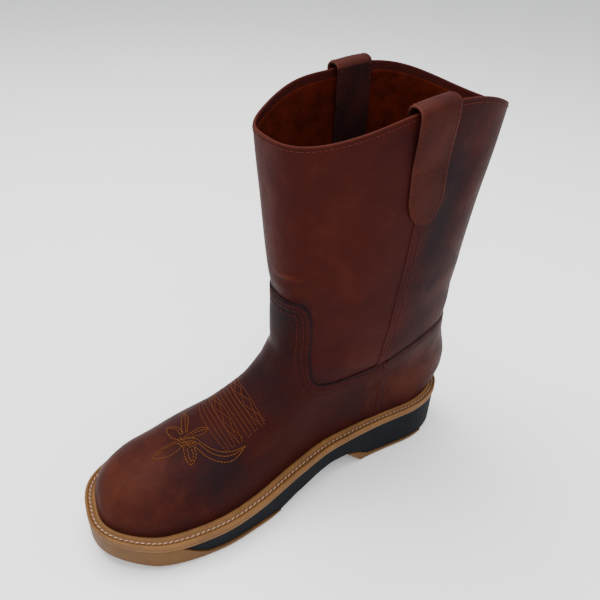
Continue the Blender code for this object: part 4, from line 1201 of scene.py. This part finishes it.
def welt_strip(finish):
    """Welt: a closed section with an inner bead, a stitch groove and a soft outer edge, carried
    round the foot's outline."""
    top = WELT_THICKNESS / MM
    section = np.array([
        (0.00, 0.1), (0.00, 0.9 * top), (0.04, top + 0.45), (0.12, top + 0.75), (0.21, top + 0.80),
        (0.30, top + 0.60), (0.37, top + 0.1), (0.42, top - 0.6), (0.48, top - 1.0), (0.58, top - 1.05),
        (0.68, top - 0.95), (0.74, top - 0.55), (0.79, top - 0.05), (0.86, top + 0.12), (0.94, top),
        (0.99, top - 0.5), (1.00, top - 1.1), (0.995, 0.5), (0.97, 0.1),
    ])
    rings = []
    for share, height in section:
        loop = outline(share)
        rings.append(np.column_stack([loop, midsole_top(station(loop)) + height * MM]))
    grid = np.array(rings)
    # Painted shade in the welt's dark amount: in the stitch groove, and along its inner edge where it meets
    # the upper.
    values = np.zeros(grid.shape)
    values[..., 0] = 0.75 * bell(section[:, :1] - 0.58, 0.11) + bell(section[:, :1], 0.05)
    return piece("welt_strip", grid, quads(*grid.shape[:2], wrap_columns=True, wrap_rows=True), finish,
                 "welt_tan", ("welt",), values)


def welt_line(share, height):
    """A line along the welt, with its outward directions straight up."""
    loop = outline(share)
    line = np.column_stack([loop, welt_top(station(loop)) + height])
    line = np.concatenate([line, line[:1]])
    return line, np.tile([0.0, 0.0, 1.0], (len(line), 1))


def side_rails(inset, at, end_zone=0.015):
    """Inner and outer side lines of an outline at the stations, closed up to its own ends."""
    loop = outline(1.0, inset)
    half = len(loop) // 2
    lines = []
    for line in (loop[:half + 1], np.concatenate([loop[:1], loop[:half - 1:-1]])):
        lines.append((line, np.minimum.accumulate(station(line))))
    heel = max(mark[-1] for _, mark in lines)
    tip = lines[0][1][0]
    high = tip if at[0] > tip - end_zone else at[0]
    low = heel if at[-1] < heel + end_zone else at[-1]
    own = np.interp(at, [at[-1], at[-1] + end_zone, at[0] - end_zone, at[0]],
                    [low, at[-1] + end_zone, at[0] - end_zone, high])
    return [points_at(own, mark[::-1], line[::-1]) for line, mark in lines], own


def stations(inset, back, front, count, extra=()):
    """Stations of a plate from front to back, closer together at a rounded end."""
    marks = station(outline(1.0, inset))
    high = min(front * LENGTH, marks.max())
    low = max(back * LENGTH, marks.min())
    even = np.linspace(0, 1, count)
    ends = 0.5 - 0.5 * np.cos(np.pi * even)
    at = high + (low - high) * (0.35 * even + 0.65 * ends)
    more = [value for value in extra if low < value < high]
    return np.unique(np.concatenate([at, more]))[::-1]


def plate(name, layers, under, back, front, count, finish, record_slot, stands_for, extra=(), across=3):
    """Sole piece as a closed ring of points per station: down the inner side by its layers, each
    an inset of its outline and a height, across its underside, up the outer side and back over
    the top."""
    at = stations(layers[0][0], back, front, count, extra)
    inner = []
    outer = []
    for inset, height in layers:
        sides, own = side_rails(inset, at)
        inner.append(np.column_stack([sides[0], height(own)]))
        outer.append(np.column_stack([sides[1], height(own)]))
    inner = np.array(inner)
    outer = np.array(outer)
    part = np.linspace(0, 1, across + 2)[1:-1]
    bottom = inner[-1][None] * (1 - part)[:, None, None] + outer[-1][None] * part[:, None, None]
    if under is not None:
        bottom[..., 2] = under(bottom, bottom[..., 2])
    over = outer[0] * 0.5 + inner[0] * 0.5
    ring = np.concatenate([inner, bottom, outer[::-1], over[None]])
    grid = np.swapaxes(ring, 0, 1)
    rows, columns = grid.shape[:2]
    faces = list(map(tuple, quads(rows, columns, wrap_columns=True, flip=True)))
    faces.append(tuple(range(columns)))
    faces.append(tuple(range(rows * columns - 1, (rows - 1) * columns - 1, -1)))
    made = piece(name, grid, faces, finish, record_slot, stands_for)
    made.data.set_sharp_from_angle(angle=np.radians(38))
    return made


def grooved(places):
    """Underside with straight grooves across it that stop short of the edges."""
    def height(points, plain):
        """The plain height, raised by a groove's depth inside each groove."""
        x = points[..., 0] + HEEL_CENTRE
        y = points[..., 1]
        low, high = LUG_GROOVE / 2 - 0.35 * MM, LUG_GROOVE / 2 + 0.35 * MM
        cut = np.max([1 - ramp(np.abs(x - place), low, high) for place in places], axis=0)
        past = np.maximum(y - half_plan(x, 1), -y - half_plan(x, -1)) - sole_reach(x) + LUG_MARGIN
        return plain + LUG_DEPTH * cut * (1 - ramp(past, -0.6 * MM, 0.6 * MM))
    return height


def groove_stations(places):
    """Stations at both walls of each groove."""
    return [place + side * (LUG_GROOVE / 2 + shift * MM)
            for place in places for side in (-1, 1) for shift in (-0.5, -0.35, 0.0, 0.35, 0.5)]


def tread_layers(top, bottom, trim):
    """Layers of a tread: straight down from its top, then round under its edge."""
    def above(share):
        """A share of the round's radius, or of most of a thin tread, above the underside."""
        return lambda x: bottom(x) + np.minimum(SOLE_ROUNDING, 0.6 * (top(x) - bottom(x))) * share

    round_edge = ((0.0, 1.0), (0.08, 0.62), (0.3, 0.3), (0.62, 0.08), (1.0, 0.0))
    return [(trim, top)] + [(trim + SOLE_ROUNDING * part, above(share)) for part, share in round_edge]


def sole(tan, black, gum):
    """Midsole strip, black wedge, forefoot tread and heel tread."""
    strip = [
        (0.15 * MM, midsole_top),
        (0.0, lambda x: midsole_top(x) - 0.4 * MM),
        (0.0, lambda x: midsole_bottom(x) + 0.4 * MM),
        (0.3 * WEDGE_RECESS, midsole_bottom),
    ]
    plate("midsole_strip", strip, None, 0.0, 1.0, 240, tan, "welt_tan", ("midsole",))
    wedge = [
        (WEDGE_RECESS, lambda x: midsole_bottom(x) - GAP),
        (1.2 * WEDGE_RECESS, lambda x: 0.5 * (midsole_bottom(x) + wedge_bottom(x))),
        (1.6 * WEDGE_RECESS, lambda x: wedge_bottom(x) + 0.3 * MM),
        (2 * WEDGE_RECESS, wedge_bottom),
    ]
    bends = [row.along * LENGTH for row in HEEL_TOP + HEEL_BEVEL + HEEL_FLOOR]
    plate("wedge_block", wedge, None, 0.0, WEDGE_TIP, 260, black, "black_foam", ("wedge",), bends)
    places = [0.69 * LENGTH + (step - 0.5) * LUG_PITCH for step in range(-1, 5)]
    plate("forefoot_tread", tread_layers(tread_top, tread_bottom, 0.3 * WEDGE_RECESS), grooved(places),
          TREAD_BACK, 1.0, 200, gum, "gum_rubber", ("outsole",), groove_stations(places), 60)
    places = [HEEL_CENTRE + (step - 0.5) * LUG_PITCH for step in range(4)]
    plate("heel_tread_block", tread_layers(heel_top, heel_bottom, WEDGE_RECESS), grooved(places),
          HEEL_BACK, HEEL_BREAST, 90, gum, "gum_rubber", ("heel_tread",),
          groove_stations(places) + bends, 50)


# ---------------------------------------------------------------- materials


def tint(code):
    """An sRGB hex colour as linear red, green, blue and alpha."""
    parts = np.array([int(code[start:start + 2], 16) for start in (1, 3, 5)]) / 255
    linear = np.where(parts <= 0.04045, parts / 12.92, ((parts + 0.055) / 1.055) ** 2.4)
    return (*linear, 1.0)


def wire(node, inputs):
    """Sets a node's inputs, each to a number, a colour or another node's output."""
    for name, value in inputs.items():
        if isinstance(value, bpy.types.NodeSocket):
            node.id_data.links.new(value, node.inputs[name])
        else:
            node.inputs[name].default_value = value


def add(tree, kind, inputs, out=0, **settings):
    """Adds one node with its settings and links, and gives one of its outputs."""
    made = tree.nodes.new(kind)
    for name, value in settings.items():
        setattr(made, name, value)
    wire(made, inputs)
    return made.outputs[out]


def begin(name, fields, **sockets):
    """A new material: it, its tree, its shader, its object coordinates and noise fields, each
    given by the size of its features in mm, its detail, its roughness and its swirl."""
    made = bpy.data.materials.new(name)
    made.use_nodes = True
    tree = made.node_tree
    shader = tree.nodes["Principled BSDF"]
    wire(shader, {socket.replace("_", " "): value for socket, value in sockets.items()})
    place = add(tree, "ShaderNodeTexCoord", {}, "Object")
    noises = [add(tree, "ShaderNodeTexNoise", {
        "Vector": place, "Scale": 1 / (size * MM), "Detail": detail, "Roughness": rough, "Distortion": swirl,
    }, "Fac") for size, detail, rough, swirl in fields]
    return made, tree, shader, place, noises


def layered(tree, code, *layers):
    """A colour with others laid over it in turn: each shows more while its value goes from low
    to high, up to its most."""
    colour = tint(code)
    for value, low, high, most, code in layers:
        share = add(tree, "ShaderNodeMapRange", {
            "Value": value, "From Min": low, "From Max": high, "To Max": most})
        colour = add(tree, "ShaderNodeMix", {0: share, 6: colour, 7: tint(code)}, 2, data_type="RGBA")
    return colour


def tones(tree):
    """Dark, light and red amounts that a piece carries."""
    amounts = add(tree, "ShaderNodeAttribute", {}, "Color", attribute_name="tone")
    return add(tree, "ShaderNodeSeparateColor", {"Color": amounts}).node.outputs


def dress(made, colour, height, deep, **sockets):
    """Puts colour and fine relief, deep in mm, on a material's shader."""
    tree = made.node_tree
    normal = add(tree, "ShaderNodeBump", {"Strength": 1.0, "Distance": deep * MM, "Height": height})
    wire(tree.nodes["Principled BSDF"], {"Base Color": colour, "Normal": normal, **sockets})
    return made


def waxed_leather(name, middle, dark, light, red, roughness):
    """Full grain cowhide, waxed and oiled: dark where the wax lies thick and where a piece carries
    painted shade, lighter and browner where it has been pulled or rubbed, with a fine grain and a soft
    broken gloss."""
    made, tree, _, place, (cloud, blotch, fibre) = begin(
        name, ((26, 5, 0.6, 0.4), (8, 4, 0.6, 0.0), (1.1, 3, 0.6, 0.0)), Specular_IOR_Level=0.03, IOR=1.48)
    carried = tones(tree)
    amounts = []
    for part, field, low, high, swing in (("Blue", blotch, 0.35, 0.65, 0.18),
                                          ("Green", cloud, 0.32, 0.68, -0.245),
                                          ("Red", cloud, 0.32, 0.68, 0.315)):
        uneven = add(tree, "ShaderNodeMapRange", {
            "Value": field, "From Min": low, "From Max": high, "To Min": -swing, "To Max": swing})
        amounts.append(add(tree, "ShaderNodeMath", {0: carried[part], 1: uneven}))
    redder, lighter, darker = amounts
    colour = layered(
        tree, middle, (redder, 0.1, 1.0, 1.0, red), (lighter, 0.1, 1.05, 1.0, light),
        (darker, 0.05, 1.05, 0.92, dark), (blotch, 0.3, 0.7, 0.22, dark), (fibre, 0.4, 0.75, 0.16, light))
    rough = roughness
    for field, low, high in ((cloud, -0.05, 0.07), (fibre, -0.05, 0.06)):
        uneven = add(tree, "ShaderNodeMapRange", {
            "Value": field, "From Min": 0.3, "From Max": 0.7, "To Min": low, "To Max": high})
        rough = add(tree, "ShaderNodeMath", {0: rough, 1: uneven})
    pores = add(tree, "ShaderNodeTexVoronoi", {"Vector": place, "Scale": 1 / (0.9 * MM)}, "Distance")
    height = 0.0
    for field, share in ((fibre, 0.5), (pores, 0.35), (blotch, 1.3)):
        height = add(tree, "ShaderNodeMath", {0: field, 1: share, 2: height}, operation="MULTIPLY_ADD")
    return dress(made, colour, height, 0.22, Roughness=rough)


def suede(name, base, dark):
    """Flesh side of split leather: matt, with a soft nap that shades in patches."""
    made, tree, _, _, (nap, cloud) = begin(
        name, ((0.7, 3, 0.7, 0.0), (9, 4, 0.6, 0.0)), Roughness=0.95, Specular_IOR_Level=0.05)
    colour = layered(tree, base, (cloud, 0.35, 0.65, 1.0, dark), (nap, 0.35, 0.7, 0.35, dark))
    return dress(made, colour, nap, 0.3)


def thread(name, base, shade, twist_mm=0.5):
    """Waxed polyester thread: light strands with darker turns between them."""
    made, tree, _, _, (turns,) = begin(
        name, ((twist_mm, 2, 0.5, 0.0),), Roughness=0.6, Specular_IOR_Level=0.12)
    return dress(made, layered(tree, shade, (turns, 0.35, 0.65, 1.0, base)), turns, 0.12)


def rubber(name, base, shade, light, painted_shade, grain_mm, roughness, gloss=0.3):
    """Moulded rubber: nearly even colour, slightly mottled, a fine matt skin, and painted shade where
    the piece's dark amount says so, as in the welt's groove. Tan welting is finished the same way."""
    made, tree, _, _, (cloud, grain, dust) = begin(
        name, ((18, 4, 0.6, 0.0), (grain_mm, 3, 0.6, 0.0), (5, 5, 0.7, 0.5)),
        Specular_IOR_Level=gloss, IOR=1.5)
    colour = layered(tree, base, (cloud, 0.35, 0.68, 1.0, shade), (dust, 0.52, 0.8, 0.45, light),
                     (tones(tree)["Red"], 0.0, 1.0, 1.0, painted_shade))
    rough = add(tree, "ShaderNodeMapRange", {
        "Value": grain, "From Min": 0.3, "From Max": 0.7,
        "To Min": roughness - 0.06, "To Max": roughness + 0.08})
    return dress(made, colour, grain, 0.12, Roughness=rough)


def board(name, base, shade):
    """Insole cover: matt brushed cloth on board."""
    made, tree, _, _, (weave,) = begin(name, ((0.8, 2, 0.6, 0.0),), Roughness=0.9, Specular_IOR_Level=0.25)
    return dress(made, layered(tree, base, (weave, 0.35, 0.65, 1.0, shade)), weave, 0.2)


def plain_floor(name, base, shade):
    """Smooth pale studio floor, hardly mottled."""
    made, tree, shader, _, (grain,) = begin(name, ((3, 2, 0.5, 0.0),), Roughness=0.8, Specular_IOR_Level=0.2)
    wire(shader, {"Base Color": layered(tree, base, (grain, 0.3, 0.7, 0.03, shade))})
    return made


# ---------------------------------------------------------------- camera and light

# The photo's camera in metres: where it stands, what it faces, its roll in degrees, and its
# focal length on a sensor as wide as the frame of 600 pixels
EYE = (0.2753, 0.3039, 0.3916)
AIM = (0.0907, 0.0, 0.1537)
ROLL = 2.32
SENSOR = 36.0
FOCAL = 621.2 / 600 * SENSOR


def set_camera():
    """Camera of the photo: a close view from above the inner side of the toe."""
    data = bpy.data.cameras.new("photo_camera")
    data.lens = FOCAL
    data.sensor_width = SENSOR
    data.sensor_fit = "HORIZONTAL"
    data.clip_start = 0.01
    data.clip_end = 20.0
    back = (Vector(EYE) - Vector(AIM)).normalized()
    right = Vector((0, 0, 1)).cross(back).normalized()
    up = back.cross(right)
    angle = np.radians(ROLL)
    turned_right = right * np.cos(angle) + up * np.sin(angle)
    turned_up = up * np.cos(angle) - right * np.sin(angle)
    turn = Matrix((turned_right, turned_up, back)).transposed().to_4x4()
    item = placed("photo_camera", data)
    item.matrix_world = Matrix.Translation(EYE) @ turn
    bpy.context.scene.camera = item


def area_light(name, place, aim, size, power):
    """A soft white square light that faces a point."""
    data = bpy.data.lights.new(name, "AREA")
    data.shape = "SQUARE"
    data.size = size
    data.energy = power
    item = placed(name, data)
    item.location = place
    item.rotation_euler = (Vector(aim) - Vector(place)).to_track_quat("-Z", "Y").to_euler()


def studio():
    """Pale floor, an even sky and three soft lights."""
    mesh = bpy.data.meshes.new("floor")
    mesh.from_pydata([(-6, -6, 0), (6, -6, 0), (6, 6, 0), (-6, 6, 0)], [], [(0, 1, 2, 3)])
    floor = placed("floor", mesh)
    mesh.materials.append(plain_floor("pale_floor", "#fbfbfa", "#d8d8d6"))
    world = bpy.data.worlds.new("sky")
    world.use_nodes = True
    wire(world.node_tree.nodes["Background"], {"Color": tint("#f4f6fa"), "Strength": 0.95})
    bpy.context.scene.world = world
    area_light("key", (0.25, -0.35, 1.5), (0.08, 0, 0.1), 1.2, 41.0)
    area_light("fill", (0.5, 0.9, 0.9), (0.08, 0, 0.12), 0.9, 9.0)
    area_light("back", (-0.8, 0.3, 0.7), (0.0, 0, 0.15), 0.5, 2.5)


# ---------------------------------------------------------------- making

def make_stitches():
    """All rows of stitches: a table of their lines, their pitch, length and half thickness in
    mm, their thread, and how far each stitch is turned out of its row."""
    dark_red = thread("dark_red_thread", "#4a1411", "#2e0a08")
    orange = thread("orange_thread", "#561d0e", "#371107")
    gold = thread("gold_thread", "#683c10", "#472708")
    pale = thread("pale_welt_thread", "#ae8b74", "#866450", 0.6)
    brown = thread("brown_thread", "#5a2c0e", "#3c1a07")
    vamp = [line for offset, sunk in ((2.4, 0.42), (5.2, 0.20), (9.6, 0.0))
            for line in panel_rows(VAMP_LINE, offset * MM, ON_PANEL - sunk * MM)]
    counter = panel_rows(COUNTER_LINE, -2.4 * MM, ON_PANEL - 0.85 * MM, False)
    seams = [seam_line(side, part) for side in SIDES for part in (-0.8, 0.8)]
    straps = [line for side in SIDES for line in strap_rows(side)]
    welt = [welt_line(0.60, -0.80 * MM)]
    collar = [boot_line(np.full(801, COLLAR_ROW), np.linspace(0, 2, 801), np.full(801, 0.02 * MM))]
    bug = [top_line(line) for line in BUG]
    wrinkles = [top_line(line) for line in wrinkle_lines()]
    for name, lines, pitch, length, thick, finish, record_slot, slant in (
            ("vamp_stitches", vamp, 3.1, 2.5, 0.33, dark_red, "overlay_leather", 0.0),
            ("counter_stitches", counter, 3.1, 2.5, 0.3, dark_red, "overlay_leather", 0.0),
            ("seam_stitches", seams, 3.1, 2.4, 0.32, dark_red, "leather", 0.0),
            ("strap_stitches", straps, 3.0, 2.4, 0.28, orange, "strap_leather", 0.0),
            ("welt_stitches", welt, 3.7, 3.2, 0.52, pale, "welt_tan", 0.22),
            ("collar_stitches", collar, 3.2, 2.5, 0.28, orange, "leather", 0.0),
            ("bug_stitching", bug, 2.1, 2.0, 0.34, gold, "overlay_leather", 0.0),
            ("wrinkle_stitching", wrinkles, 2.1, 2.0, 0.34, brown, "overlay_leather", 0.0)):
        stitched(name, lines, pitch * MM, length * MM, thick * MM, finish, record_slot, slant)


def main():
    """The studio, then the boot from the upper down to the sole, and last its stitches."""
    set_camera()
    studio()
    shaft = waxed_leather("waxed_cowhide_shaft", "#33110e", "#150f14", "#481f14", "#3e130b", 0.50)
    panels = waxed_leather("waxed_cowhide_panels", "#2c0e0b", "#161014", "#482319", "#3c1109", 0.48)
    straps = waxed_leather("waxed_cowhide_straps", "#3a1915", "#160e10", "#4c2820", "#3c160f", 0.52)
    upper_shell(shaft)
    lining(suede("split_suede_lining", "#431206", "#2e0903"))
    vamp_panel(panels)
    counter_panel(panels)
    for side in SIDES:
        seam_strip(side, shaft)
        pull_strap(side, straps)
    # The fourth colour of each rubber is its painted shade, which shows only where a piece carries a dark
    # amount.
    tan = rubber("waxed_tan_welt", "#69451d", "#593916", "#775629", "#3c2412", 0.5, 0.64)
    gum = rubber("gum_rubber", "#58370d", "#4a2f0b", "#674a1b", "#30200b", 0.4, 0.68)
    black = rubber("black_foam_rubber", "#090d13", "#06080c", "#10141b", "#06080c", 0.8, 0.8, 0.12)
    welt_strip(tan)
    sole(tan, black, gum)
    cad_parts["insole"].data.materials.clear()
    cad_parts["insole"].data.materials.append(board("insole_cloth", "#5a3a28", "#3c261a"))
    make_stitches()


main()
